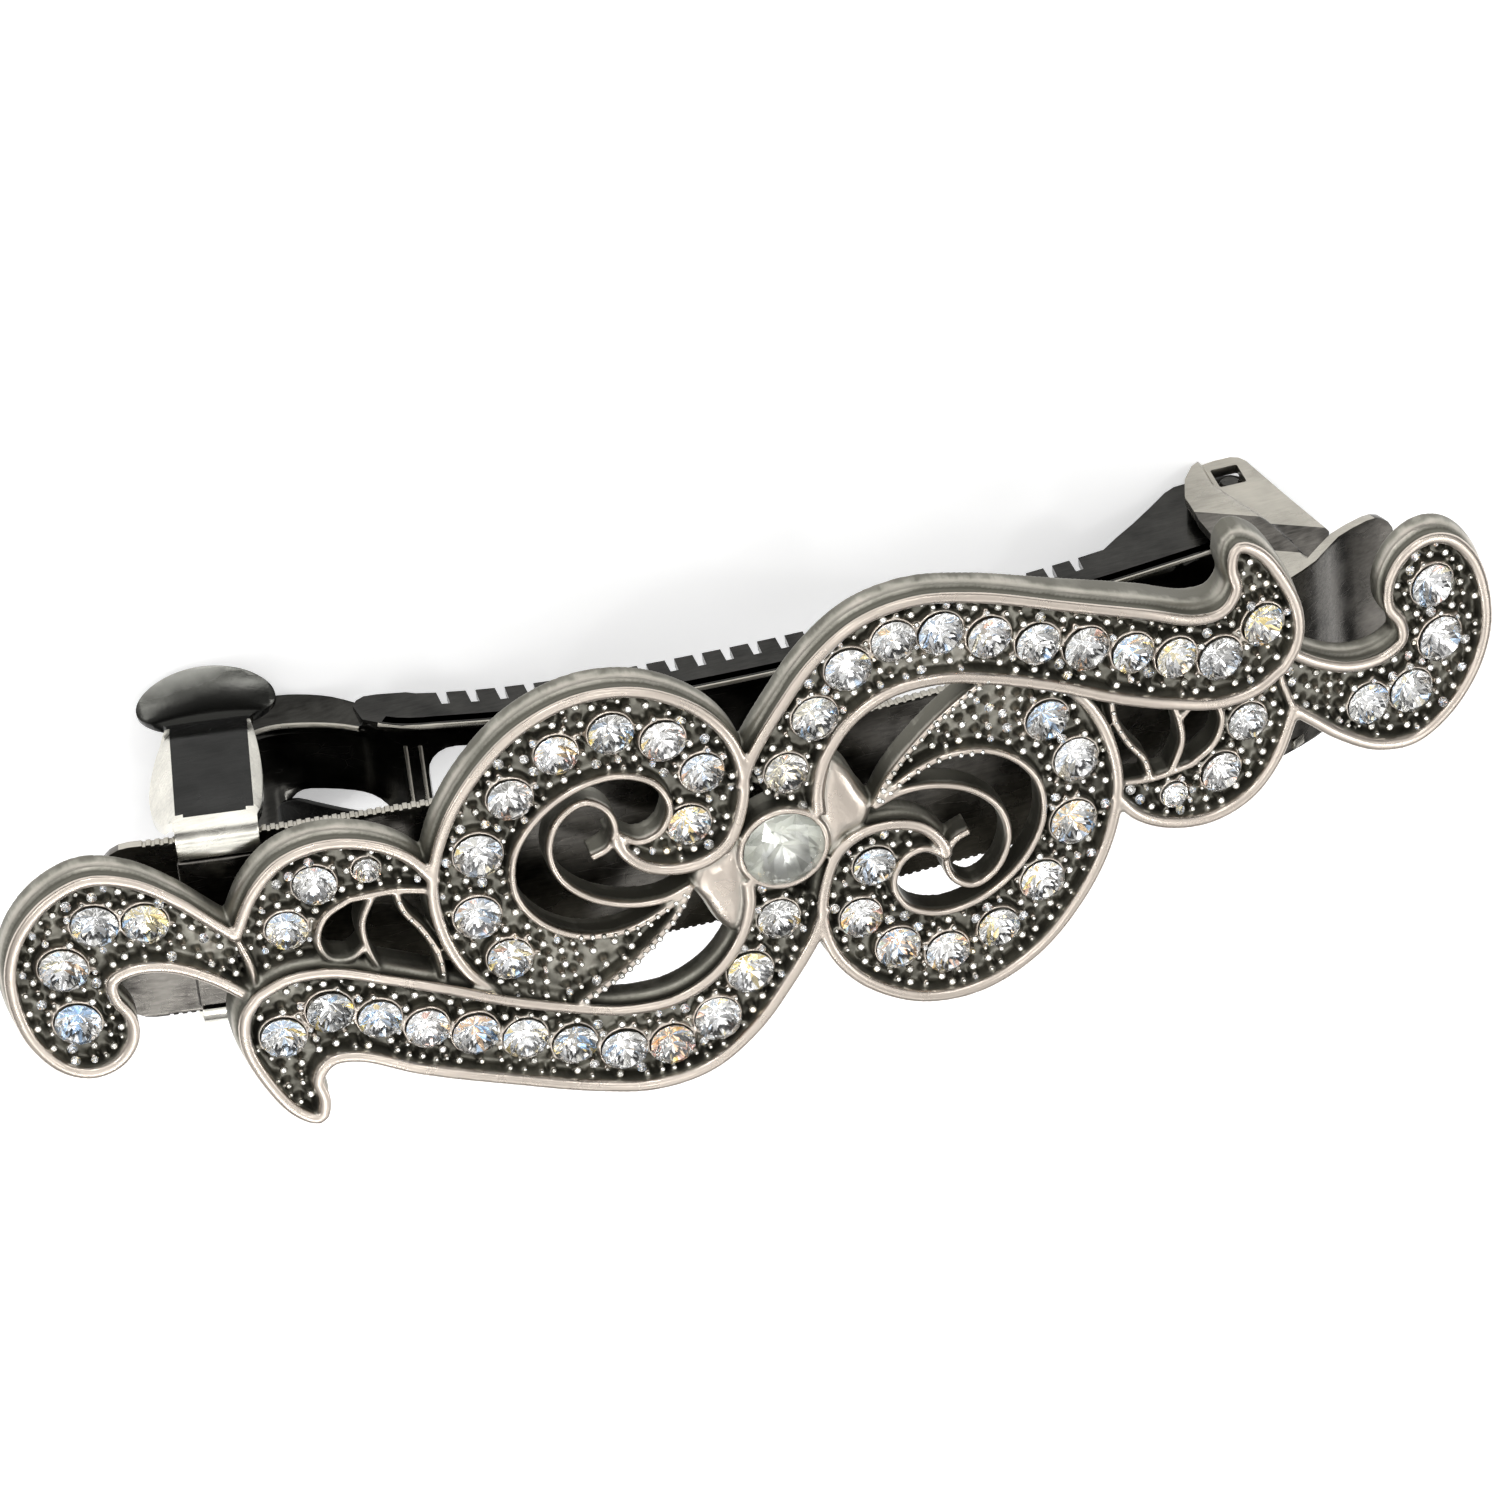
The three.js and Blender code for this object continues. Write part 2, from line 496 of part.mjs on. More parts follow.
// A spring prong: a foot over the plate, a bend round its edge, an arm with bowed sides, a lip over the bar's tip,
// and a wide round finger tab.
function catchProng(side) {
  const top = PLATE_THICKNESS / 2 + CONTACT_GAP + CATCH_THICKNESS;
  const foot = top - CATCH_THICKNESS / 2;
  const line = smooth([[-PRONG_FOOT, foot], [-0.75, foot], [-0.2, 0.5], [0, -0.5], [0, -5], [0, -9.2],
    [-0.55, -10.4], [-1.2, -11.2], [-0.8, -12.0], [0.4, -12.9], [1.7, -14.1], [2.2, -15]]
    .map(([out, z]) => [side * (ARM_Y + out), z]), 0.6);
  const reach = 5;
  const strip = slab(ribbon(line, CATCH_THICKNESS), -reach, reach);
  strip.applyMatrix4(new THREE.Matrix4().set(0, 0, 1, 0, 1, 0, 0, 0, 0, 1, 0, 0, 0, 0, 0, 1));
  // The tab is round and ends in a short flat that lies on the resting plane.
  const tilt = archTilt(CATCH_X);
  const ground = (x) => (x * Math.sin(tilt) - FACE_HEIGHT - plateZ(CATCH_X)) / Math.cos(tilt);
  const front = new THREE.Shape();
  front.moveTo(-CATCH_HALF_WIDTH, top + 1);
  front.lineTo(-CATCH_HALF_WIDTH, -0.5);
  front.quadraticCurveTo(-PRONG_BULGE, -5.5, -CATCH_HALF_WIDTH, -10.2);
  front.quadraticCurveTo(-TAB_HALF_WIDTH, -10.9, -TAB_HALF_WIDTH, -12.2);
  front.quadraticCurveTo(-TAB_HALF_WIDTH, -13.7, -1.6, ground(-1.6));
  front.lineTo(1.2, ground(1.2));
  front.quadraticCurveTo(TAB_HALF_WIDTH, -14.0, TAB_HALF_WIDTH, -12.5);
  front.quadraticCurveTo(TAB_HALF_WIDTH, -11.2, CATCH_HALF_WIDTH, -10.2);
  front.quadraticCurveTo(PRONG_BULGE, -5.5, CATCH_HALF_WIDTH, -0.5);
  front.lineTo(CATCH_HALF_WIDTH, top + 1);
  return surfaceOf(solid(strip).intersect(solid(sideSlab(front, -20, 20))));
}

function catchRivet() {
  const top = PLATE_THICKNESS / 2 + CATCH_THICKNESS + 2 * CONTACT_GAP;
  const bottom = -PLATE_THICKNESS / 2 - CONTACT_GAP;
  return turned([[RIVET_HEAD_RADIUS, bottom - RIVET_HEAD_HEIGHT], [RIVET_HEAD_RADIUS, bottom],
    [RIVET_RADIUS, bottom], [RIVET_RADIUS, top], [RIVET_HEAD_RADIUS, top],
    [RIVET_HEAD_RADIUS - 0.4, top + RIVET_HEAD_HEIGHT]]);
}

// Holds the tension spring against the underside of the plate.
function springRivet() {
  const springBottom = SPRING_CENTRE_Z - SPRING_THICKNESS / 2 - CONTACT_GAP;
  const plateTop = -PLATE_DROP + PLATE_THICKNESS / 2 + CONTACT_GAP;
  return turned([[RIVET_HEAD_RADIUS - 0.5, springBottom - RIVET_HEAD_HEIGHT], [RIVET_HEAD_RADIUS, springBottom],
    [RIVET_RADIUS, springBottom], [RIVET_RADIUS, plateTop], [RIVET_HEAD_RADIUS, plateTop],
    [RIVET_HEAD_RADIUS, plateTop + RIVET_HEAD_HEIGHT]]);
}

// A stub that carries the ornament above the plate.
function mountingPost() {
  const low = -PLATE_DROP + PLATE_THICKNESS / 2 + CONTACT_GAP;
  return turned([[POST_RADIUS, low], [POST_RADIUS, -CAST_DEPTH - CONTACT_GAP]]);
}

// ---- Assembly ----

const whole = new THREE.Group();
whole.name = "rhinestone_hair_clip";
whole.position.z = FACE_HEIGHT;

const clip = new THREE.Group();
clip.position.y = CLIP_Y;
whole.add(clip);

function addPart(name, geometry, finish, parent = whole) {
  const mesh = new THREE.Mesh(geometry, new THREE.MeshStandardMaterial(finish));
  mesh.name = name;
  parent.add(mesh);
  return mesh;
}

// Turned to lie along the arch at x, with its own z = 0 at the given height.
function frameOnArch(x, z) {
  const frame = new THREE.Group();
  frame.position.set(x, 0, z);
  frame.rotation.y = archTilt(x);
  clip.add(frame);
  return frame;
}

addPart("ornament_casting", castingGeometry(), antiqueSilver);

addPart("middle_stone", placeStone(MIDDLE_STONE, stoneGeometry(MIDDLE_STONE[2]), 1, 0.1), crystal);
for (const [where, side] of [["right", 1], ["left", -1]]) {
  ARM_STONES.forEach((stone, i) => {
    const geometry = placeStone(stone, stoneGeometry(stone[2]), side, armLift(stone[0]));
    addPart(`arm_stone_${where}_${i + 1}`, geometry, crystal);
  });
  ROUND_STONES.forEach((stone, i) => {
    addPart(`scroll_stone_${where}_${i + 1}`, placeStone(stone, stoneGeometry(stone[2]), side), crystal);
  });
  addPart(`small_scroll_stones_${where}`, stoneRow(SCROLL_STONES, side), crystal);
  addPart(`leaf_stones_${where}`, stoneRow(LEAF_STONES, side), crystal);
}

addPart("base_plate", basePlate(), nickel, clip);
for (const [where, side] of [["right", 1], ["left", -1]]) {
  const post = addPart(`mounting_post_${where}`, mountingPost(), nickel);
  post.position.set(side * POST_X, side * POST_Y, -archDrop(POST_X));
  post.rotation.y = archTilt(side * POST_X);
}
addPart("tension_spring", tensionSpring(), springSteel, clip);
addPart("spring_rivet", springRivet(), nickel, clip);

const catchFrame = frameOnArch(CATCH_X, plateZ(CATCH_X));
addPart("catch_bridge", catchBridge(), springSteel, catchFrame);
addPart("catch_prong_back", catchProng(1), springSteel, catchFrame);
addPart("catch_prong_front", catchProng(-1), springSteel, catchFrame);
addPart("catch_rivet", catchRivet(), nickel, catchFrame);

addPart("locking_bar", lockingBar(), nickel, clip);
addPart("hinge_pin", hingePin(), nickel, clip).position.set(PIN_X, 0, PIN_Z);

export default whole;
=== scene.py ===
# Looks of the rhinestone hair clip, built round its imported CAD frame. The drawing is in millimetres, with z = 0
# at the decorated face; to_part() takes it into the part's own frame, which is in metres.
import math

import bmesh
import bpy
import numpy as np
from mathutils import Matrix, Vector
from mathutils.geometry import tessellate_polygon


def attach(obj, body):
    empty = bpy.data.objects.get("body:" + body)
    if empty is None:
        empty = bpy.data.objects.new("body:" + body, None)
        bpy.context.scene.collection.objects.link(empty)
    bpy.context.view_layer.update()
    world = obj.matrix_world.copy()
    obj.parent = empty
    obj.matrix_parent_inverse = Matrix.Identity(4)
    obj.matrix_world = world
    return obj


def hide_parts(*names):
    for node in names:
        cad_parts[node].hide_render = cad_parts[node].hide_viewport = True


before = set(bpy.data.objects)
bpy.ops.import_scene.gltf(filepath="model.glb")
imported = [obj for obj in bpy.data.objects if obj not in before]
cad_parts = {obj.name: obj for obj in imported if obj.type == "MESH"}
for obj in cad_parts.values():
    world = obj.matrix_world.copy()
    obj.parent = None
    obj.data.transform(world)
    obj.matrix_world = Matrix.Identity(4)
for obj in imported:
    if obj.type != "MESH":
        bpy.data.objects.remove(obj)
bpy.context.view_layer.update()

MM = 0.001
FACE_HEIGHT = 21.8
ARCH_RADIUS = 178.5
# The arms rise over the round scrolls by ARM_LIFT, from LIFT_START outwards, within LIFT_LENGTH.
ARM_LIFT, LIFT_START, LIFT_LENGTH = 0.8, 11, 13
SIDES = (("right", 1), ("left", -1))

# ---- The ornament's drawing: its right half seen from the face ----

ARM_UPPER = [
    (-2, 4.7), (-1.2, 6.6), (0.6, 9.2), (2.9, 11.9), (5.7, 13.8), (9, 14.3), (12.6, 13.5), (17.5, 11.6),
    (22.4, 9.6), (25.6, 8.1), (27.3, 8.1), (28.2, 9.3), (28, 10.8), (28.4, 12),
]
ARM_TAIL = [(28.4, 12), (29.6, 11.3), (31, 8.9), (31.8, 6.3), (31.6, 4.3), (30.7, 3)]
ARM_LOWER = [
    (30.7, 3), (28.9, 2.15), (26.5, 2.1), (23.6, 3.1), (20.4, 4.5), (17, 6.25), (13.6, 7.7), (10.2, 8.75),
    (7.2, 8.75), (4.8, 7.6), (3.1, 5.6), (2.3, 3.4), (2.2, 1.7),
]
ROUND_OUTER = [
    (17.3, 6.1), (18.9, 3.9), (19.9, 1), (20.1, -2), (19.2, -5.4), (17.3, -8.6), (14.3, -11.5), (10.8, -12.9),
    (7.3, -12.6), (4.2, -10.7), (2.4, -8.2), (1.85, -5.7), (2.2, -3.3), (3.2, -1.2), (4.7, -0.3), (6.6, -0.3),
    (8.2, -1), (9.2, -2.3), (9.45, -3.4),
]
LEAF_ROOT = (5.5, 1.2)
ROUND_INNER = [
    LEAF_ROOT, (7.3, 2.5), (9.7, 3.35), (12.2, 3.1), (14.3, 1.7), (15.5, -0.5), (15.3, -3.2), (13.6, -5.6),
    (11.2, -7), (8.8, -7.2), (6.9, -6.2), (6.2, -4.4), (6.9, -2.9), (8.2, -2.5), (9.45, -3.4),
]
LEAF_EDGE = [LEAF_ROOT, (6.7, 3.1), (8.6, 5), (10.6, 6.5), (12.9, 7.8)]
SPIRAL = [
    LEAF_ROOT, (7.2, 1.75), (9.2, 1.6), (11.4, 0.6), (12.9, -1.1), (13.3, -3.2), (12.5, -5.1), (11, -5.9),
    (9.8, -5.1), (9.45, -3.6), (10, -2.5), (11, -2.1),
]
LOBE = [
    (2.3, 3.3), (3.2, 5.3), (4.2, 4.3), (4.9, 2.7), LEAF_ROOT, (4.9, -0.1), (3.6, -0.5), (2.7, -1.6),
    (2.2, 0.8),
]
SCROLL_OUTER = [
    (19.9, -2.4), (21.2, -4.3), (23.2, -5.6), (25.8, -6.1), (28.2, -5.4), (30, -3.6), (31.4, -0.7),
]
SCROLL_FLOOR = SCROLL_OUTER + [(30.8, 3.1), (28.9, 2.15), (26.6, 1.8), (26.9, 0.4), (26.3, -1.2),
                               (24.8, -2.15), (22.2, -2.25), (20.2, -1.8)]
SCROLL_WIRES = [
    [(20, -1.8), (22.2, -2.25), (24.8, -2.15)],
    [(20.2, 4.6), (20.3, 2.6), (21, 0.7), (21.9, -0.8), (22.2, -2.25)],
    [(23.7, 3.1), (24.2, 1.4), (24.3, -0.4), (23.5, -2.2)],
    [(24.2, 1.1), (25.2, 1.9), (26.4, 1.7), (26.9, 0.4), (26.3, -1.2), (24.8, -2.15)],
    [(30.7, 3), (30.8, 1.5), (31.4, -0.7)],
]
LEAF_OUTLINE = [
    (31.2, 3.4), (33, 1.9), (35.2, 0.75), (37.3, 0.6), (38.6, 1.3), (38.6, 2.5), (37.9, 3.9), (38, 5.5),
    (39, 6.9), (40.5, 7.45), (42, 6.9), (43.4, 5), (44.05, 2.4), (44, -0.1), (43.1, -2.5), (41.3, -4.6),
    (39, -5.7), (36.6, -5.2), (34.2, -3.5), (32.6, -1.9), (31.4, -0.7),
]

# The stones: x, y, diameter.
MIDDLE_STONE = (0, 0, 4.6)
ARM_STONES = [
    (0.7, 4.9, 2.4), (2.7, 8.1, 2.6), (4.9, 10.8, 2.6), (7.7, 11.9, 2.5), (10.5, 11.6, 2.6),
    (13.3, 10.5, 2.5), (16.1, 9.3, 2.5), (18.9, 8.2, 2.6), (21.6, 7.1, 2.4), (24.2, 5.9, 2.4),
    (26.9, 4.9, 2.6), (29.7, 6.2, 2.5),
]
ROUND_STONES = [
    (16.3, 3.8, 2.5), (17.8, 0.6, 2.6), (17.3, -3.6, 2.7), (15.1, -7, 2.5), (12.2, -9.4, 2.4),
    (9, -10.1, 2.5), (6.1, -8.9, 2.5), (4.1, -6.2, 2.4), (5.2, -2.9, 2.4),
]
SCROLL_STONES = [(28.5, -0.6, 2.3), (26.6, -3.4, 2.4), (23.6, -3.9, 1.5)]
LEAF_STONES = [(36.2, -2.3, 2.5), (39, -2.5, 2.6), (41.1, 0.3, 2.7), (40.8, 4.1, 2.6)]

# ---- Drawing helpers ----


def arch_drop(x):
    """How far the arch has fallen at x."""
    return x * x / (2 * ARCH_RADIUS)


def arm_lift(x):
    t = np.clip((np.abs(x) - LIFT_START) / LIFT_LENGTH, 0, 1)
    return ARM_LIFT * t * t * (3 - 2 * t)


def resample(points, step):
    """The same polyline with points about step apart."""
    p = np.asarray(points, float)
    d = np.r_[0, np.cumsum(np.linalg.norm(np.diff(p, axis=0), axis=1))]
    n = max(2, int(round(d[-1] / step)))
    s = np.linspace(0, d[-1], n + 1)
    return np.stack([np.interp(s, d, p[:, k]) for k in range(p.shape[1])], 1)


def smooth(points, step=0.35):
    """A centripetal Catmull-Rom curve through the points."""
    p = np.asarray(points, float)
    e = np.vstack([2 * p[0] - p[1], p, 2 * p[-1] - p[-2]])
    t = np.linspace(0, 1, 24, endpoint=False)[:, None]
    out = []
    for i in range(len(p) - 1):
        p0, p1, p2, p3 = quad = e[i:i + 4]
        d0, d1, d2 = (max(np.linalg.norm(d), 1e-6) ** 0.5 for d in np.diff(quad, axis=0))
        m1 = d1 * ((p1 - p0) / d0 - (p2 - p0) / (d0 + d1) + (p2 - p1) / d1)
        m2 = d1 * ((p2 - p1) / d1 - (p3 - p1) / (d1 + d2) + (p3 - p2) / d2)
        out.append((2 * t**3 - 3 * t**2 + 1) * p1 + (t**3 - 2 * t**2 + t) * m1
                   + (3 * t**2 - 2 * t**3) * p2 + (t**3 - t**2) * m2)
    return resample(np.vstack(out + [p[-1:]]), step)


def left_of(path, closed=False):
    """Unit normals to the left of travel."""
    if closed:
        d = np.roll(path, -1, 0) - np.roll(path, 1, 0)
    else:
        d = np.vstack([path[1] - path[0], path[2:] - path[:-2], path[-1] - path[-2]])
    d /= np.linalg.norm(d, axis=1)[:, None]
    return np.stack([-d[:, 1], d[:, 0]], 1)


def ring_points(x, y, r, n=40):
    a = np.linspace(0, 2 * math.pi, n, endpoint=False)
    return np.stack([x + r * np.cos(a), y + r * np.sin(a)], 1)


class Shape:
    """Vertices and faces that grow piece by piece."""

    def __init__(self):
        self.v, self.f, self.n = [], [], 0

    def add(self, verts, faces):
        verts = np.asarray(verts, float)
        self.f += [[i + self.n for i in face] for face in faces]
        self.v.append(verts)
        self.n += len(verts)

    def points(self):
        return np.vstack(self.v)


def band(a, b, n):
    """The faces between two rings of n points, which start at a and b."""
    return [(a + i, a + (i + 1) % n, b + (i + 1) % n, b + i) for i in range(n)]


def sweep(path, profile, closed=False):
    """A closed profile of (offset to the left, z) carried along a flat path."""
    n, m = len(path), len(profile)
    normals = left_of(path, closed)
    profile = np.asarray(profile, float)
    verts = np.empty((n, m, 3))
    verts[:, :, :2] = path[:, None] + normals[:, None] * profile[None, :, :1]
    verts[:, :, 2] = profile[None, :, 1]
    faces = []
    for i in range(n if closed else n - 1):
        faces += band(i * m, (i + 1) % n * m, m)
    if not closed:
        faces += [tuple(reversed(range(m))), tuple(range((n - 1) * m, n * m))]
    return verts.reshape(-1, 3), faces


def prism(outline, low, high):
    """A flat outline made solid between two heights."""
    outline = np.asarray(outline, float)
    n = len(outline)
    verts = np.vstack([np.c_[outline, np.full(n, low)], np.c_[outline, np.full(n, high)]])
    tris = tessellate_polygon([[Vector((x, y, 0)) for x, y in outline]])
    faces = [tuple(t) for t in tris] + [tuple(i + n for i in reversed(t)) for t in tris]
    return verts, faces + band(0, n, n)


def dome(outline, layers):
    """An outline stacked in (scale, z) layers about its middle, closed at the top."""
    outline = np.asarray(outline, float)
    middle = outline.mean(0)
    n = len(outline)
    verts = np.vstack([np.c_[middle + (outline - middle) * s, np.full(n, z)] for s, z in layers])
    faces = [tuple(reversed(range(n))), tuple(range((len(layers) - 1) * n, len(layers) * n))]
    for k in range(len(layers) - 1):
        faces += band(k * n, (k + 1) * n, n)
    return verts, faces


def lathe(profile, n):
    """A profile of (radius, z) turned about Z; the first and last points lie on the axis."""
    inner = profile[1:-1]
    a = np.linspace(0, 2 * math.pi, n, endpoint=False)
    rings = [np.c_[r * np.cos(a), r * np.sin(a), np.full(n, z)] for r, z in inner]
    verts = np.vstack(rings + [[(0, 0, profile[0][1])], [(0, 0, profile[-1][1])]])
    bottom, top = len(inner) * n, len(inner) * n + 1
    faces = [(bottom, (i + 1) % n, i) for i in range(n)]
    last = (len(inner) - 1) * n
    faces += [(top, last + i, last + (i + 1) % n) for i in range(n)]
    for k in range(len(inner) - 1):
        faces += band(k * n, (k + 1) * n, n)
    return verts, faces


def to_part(points):
    """From the drawing's millimetres to the part's frame in metres."""
    return (np.asarray(points, float) + (0, 0, FACE_HEIGHT)) * MM


def new_object(name, data):
    obj = bpy.data.objects.new(name, data)
    bpy.context.scene.collection.objects.link(obj)
    return obj


def modify(obj, kind, **settings):
    modifier = obj.modifiers.new(kind, kind)
    for key, value in settings.items():
        setattr(modifier, key, value)


def make_object(name, verts, faces, materials, body="frame", replaces=(), shade_smooth=True):
    mesh = bpy.data.meshes.new(name)
    mesh.from_pydata([tuple(v) for v in verts], [], [tuple(f) for f in faces])
    mesh.validate()
    for material in materials:
        mesh.materials.append(material)
    mesh.polygons.foreach_set("use_smooth", [shade_smooth] * len(mesh.polygons))
    obj = new_object(name, mesh)
    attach(obj, body)
    if replaces:
        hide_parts(*replaces)
    return obj


def face_outwards(mesh):
    bm = bmesh.new()
    bm.from_mesh(mesh)
    bmesh.ops.recalc_face_normals(bm, faces=bm.faces)
    bm.to_mesh(mesh)
    bm.free()


def apply_modifiers(obj):
    graph = bpy.context.evaluated_depsgraph_get()
    graph.update()
    done = bpy.data.meshes.new_from_object(obj.evaluated_get(graph))
    obj.modifiers.clear()
    old = obj.data
    obj.data = done
    bpy.data.meshes.remove(old)


# ---- Materials ----


class Nodes:
    """A short way to write the node tree of a material or a world."""

    def __init__(self, name, world=None):
        self.material = world or bpy.data.materials.new(name)
        self.material.use_nodes = True
        self.tree = self.material.node_tree
        self.shader = self.tree.nodes["Background" if world else "Principled BSDF"]

    def add(self, kind, settings=None, **inputs):
        """A new node. Inputs go by their sockets' names, or by number as i0, i1."""
        node = self.tree.nodes.new("ShaderNode" + kind)
        for key, value in (settings or {}).items():
            setattr(node, key, value)
        for key, value in inputs.items():
            by_number = key[0] == "i" and key[1:].isdigit()
            self.put(node, int(key[1:]) if by_number else key.replace("_", " "), value)
        return node

    def put(self, node, key, value):
        socket = node.inputs[key]
        if isinstance(value, bpy.types.NodeSocket):
            self.tree.links.new(value, socket)
        elif isinstance(value, bpy.types.Node):
            self.tree.links.new(value.outputs[0], socket)
        else:
            socket.default_value = value

    def set(self, **inputs):
        for key, value in inputs.items():
            self.put(self.shader, key.replace("_", " "), value)

    def place(self, scale=(1, 1, 1)):
        where = self.add("TexCoord").outputs["Object"]
        return self.add("Mapping", Vector=where, Scale=scale)

    def noise(self, scale, detail=3.0, where=None):
        return self.add("TexNoise", Vector=where or self.place(), Scale=scale, Detail=detail,
                        Roughness=0.55).outputs["Fac"]

    def math(self, operation, a, b, clamp=False):
        return self.add("Math", {"operation": operation, "use_clamp": clamp}, i0=a, i1=b).outputs[0]

    def ramp(self, factor, stops):
        node = self.add("ValToRGB", Fac=factor)
        elements = node.color_ramp.elements
        while len(elements) < len(stops):
            elements.new(0.5)
        for element, (position, colour) in zip(elements, stops):
            element.position = position
            element.color = (*colour, 1)
        return node.outputs["Color"]

    def span(self, factor, low, high, start=0.0, end=1.0):
        """Takes start..end to low..high."""
        node = self.add("MapRange", Value=factor)
        for key, value in (("From Min", start), ("From Max", end), ("To Min", low), ("To Max", high)):
            node.inputs[key].default_value = value
        return node.outputs[0]

    def attribute(self, name):
        return self.add("Attribute", {"attribute_name": name}).outputs["Fac"]

    def bump(self, height, strength, distance):
        return self.add("Bump", Height=height, Strength=strength, Distance=distance).outputs["Normal"]


def antique_silver():
    """Matte plated silver, darkened in its grooves and between the stones by patina and painted shade."""
    n = Nodes("antique_silver")
    mottling = n.noise(1400.0, 4.0)
    patches = n.noise(260.0, 2.0)
    # Patina and painted shade: buried places darkest, the groove under the rim painted darker, worn edges least.
    patina_and_shade = n.math("ADD", n.attribute("occlusion"), n.span(mottling, -0.14, 0.14))
    patina_and_shade = n.math("ADD", n.math("MULTIPLY", patina_and_shade, 0.86), n.math("MULTIPLY", n.attribute("groove_patina_and_shade"), 0.26))
    patina_and_shade = n.math("ADD", patina_and_shade, n.span(patches, -0.14, 0.15, 0.3, 0.7))
    patina_and_shade = n.math("SUBTRACT", patina_and_shade, n.math("MULTIPLY", n.attribute("convex"), 0.30), clamp=True)
    colour = n.ramp(patina_and_shade, [(0.08, (0.52, 0.46, 0.40)), (0.28, (0.41, 0.38, 0.335)),
                           (0.52, (0.30, 0.29, 0.25)), (0.82, (0.135, 0.13, 0.108))])
    n.set(Base_Color=colour, Metallic=1.0,
          Roughness=n.math("ADD", n.span(patina_and_shade, 0.27, 0.5, 0.1, 0.6), n.span(n.noise(500.0), -0.05, 0.07)),
          Normal=n.bump(n.noise(5200.0, 3.0), 0.2, 0.00005))
    return n.material


def sheet_metal(name, colour, roughness, streak=(1, 6, 6), mottle=0.25):
    """Rolled, plated sheet: faint streaks along its length, small scratches and a soft mottling."""
    n = Nodes(name)
    rolled = n.noise(900.0, 2.0, where=n.place(streak))
    mottling = n.noise(350.0, 3.0)
    scratch = n.add("TexVoronoi", {"feature": "DISTANCE_TO_EDGE"}, Vector=n.place((0.35, 1.6, 1.6)),
                    Scale=700.0).outputs["Distance"]
    scratches = n.span(scratch, 1.0, 0.0, 0.0, 0.02)
    dark = tuple(c * (1 - mottle) for c in colour)
    light = tuple(min(1, c * (1 + mottle)) for c in colour)
    base = n.ramp(n.math("ADD", n.math("MULTIPLY", mottling, 0.7), n.math("MULTIPLY", rolled, 0.3)),
                  [(0.3, dark), (0.5, colour), (0.72, light)])
    rough = n.math("ADD", n.span(mottling, roughness - 0.07, roughness + 0.1, 0.3, 0.7),
                   n.math("MULTIPLY", scratches, 0.06))
    height = n.math("ADD", n.math("MULTIPLY", rolled, 0.6), n.math("MULTIPLY", scratches, -0.3))
    n.set(Base_Color=base, Metallic=1.0, Roughness=rough, Normal=n.bump(height, 0.12, 0.00003))
    return n.material


def tab_painted_sheen():
    """The finger tab's steel, with painted shade at the neck and a painted highlight towards its end, 0.8 mm over
    the table.
    """
    n = Nodes("tab_painted_sheen")
    height = n.add("SeparateXYZ", Vector=n.place()).outputs["Z"]
    # Painted light by height, with a random tone.
    painted_light = n.math("ADD", n.span(height, 1.0, 0.0, 0.0009, 0.0025), n.span(n.noise(900.0), -0.12, 0.12))
    colour = n.ramp(painted_light, [(0.12, (0.025, 0.025, 0.023)), (0.42, (0.055, 0.055, 0.05)),
                           (0.8, (0.24, 0.24, 0.22))])
    n.set(Base_Color=colour, Metallic=1.0, Roughness=n.span(painted_light, 0.2, 0.36),
          Normal=n.bump(n.noise(5200.0), 0.12, 0.00003))
    return n.material


def crystal():
    """Clear lead glass with a little dust."""
    n = Nodes("crystal")
    dust = n.noise(900.0, 3.0)
    n.set(Base_Color=n.ramp(dust, [(0.35, (0.97, 0.98, 1.0)), (0.75, (1.0, 0.985, 0.96))]),
          Roughness=n.span(dust, 0.0, 0.05, 0.45, 0.8), IOR=1.58, Transmission_Weight=1.0)
    return n.material


def foil():
    """Mirror foil on the back facets, a little different on each facet: its spread from grey to white and its
    blue and yellow tints are partly aged foil and partly painted reflections and fire.
    """
    n = Nodes("stone_foil")
    tint = n.attribute("facet")
    colour = n.ramp(tint, [(0.0, (0.34, 0.34, 0.33)), (0.14, (0.74, 0.73, 0.70)), (0.36, (0.96, 0.955, 0.94)),
                           (0.76, (0.98, 0.98, 0.98)), (0.83, (0.45, 0.68, 1.0)), (0.88, (0.97, 0.97, 0.94)),
                           (0.94, (1.0, 0.82, 0.36)), (0.985, (0.98, 0.62, 0.52))])
    n.set(Base_Color=colour, Metallic=1.0, Roughness=n.span(n.noise(1600.0), 0.03, 0.14))
    return n.material


def milky_foil():
    """A soft, clouded backing, which makes the middle stone pale and calm."""
    n = Nodes("milky_foil")
    cloud = n.noise(420.0, 3.0)
    tone = n.math("ADD", n.math("MULTIPLY", n.attribute("facet"), 0.5), n.math("MULTIPLY", cloud, 0.5))
    colour = n.ramp(tone, [(0.2, (0.36, 0.37, 0.34)), (0.42, (0.66, 0.67, 0.62)), (0.65, (0.9, 0.91, 0.86))])
    n.set(Base_Color=colour, Metallic=1.0, Roughness=n.span(cloud, 0.2, 0.42))
    return n.material


def bead_silver():
    """Bright beads between the stones, some of them yellowed."""
    n = Nodes("bead_silver")
    tone = n.noise(420.0, 2.0)
    colour = n.ramp(tone, [(0.3, (0.45, 0.44, 0.40)), (0.46, (0.84, 0.83, 0.78)), (0.62, (0.97, 0.97, 0.95)),
                           (0.75, (0.99, 0.9, 0.66))])
    n.set(Base_Color=colour, Metallic=1.0, Roughness=n.span(n.noise(2200.0), 0.08, 0.26),
          Normal=n.bump(n.noise(6000.0), 0.1, 0.00002))
    return n.material


def pale_floor():
    n = Nodes("studio_floor")
    n.set(Base_Color=(0.93, 0.93, 0.93, 1), Roughness=0.9, Emission_Color=(1, 1, 1, 1), Emission_Strength=0.4)
    return n.material


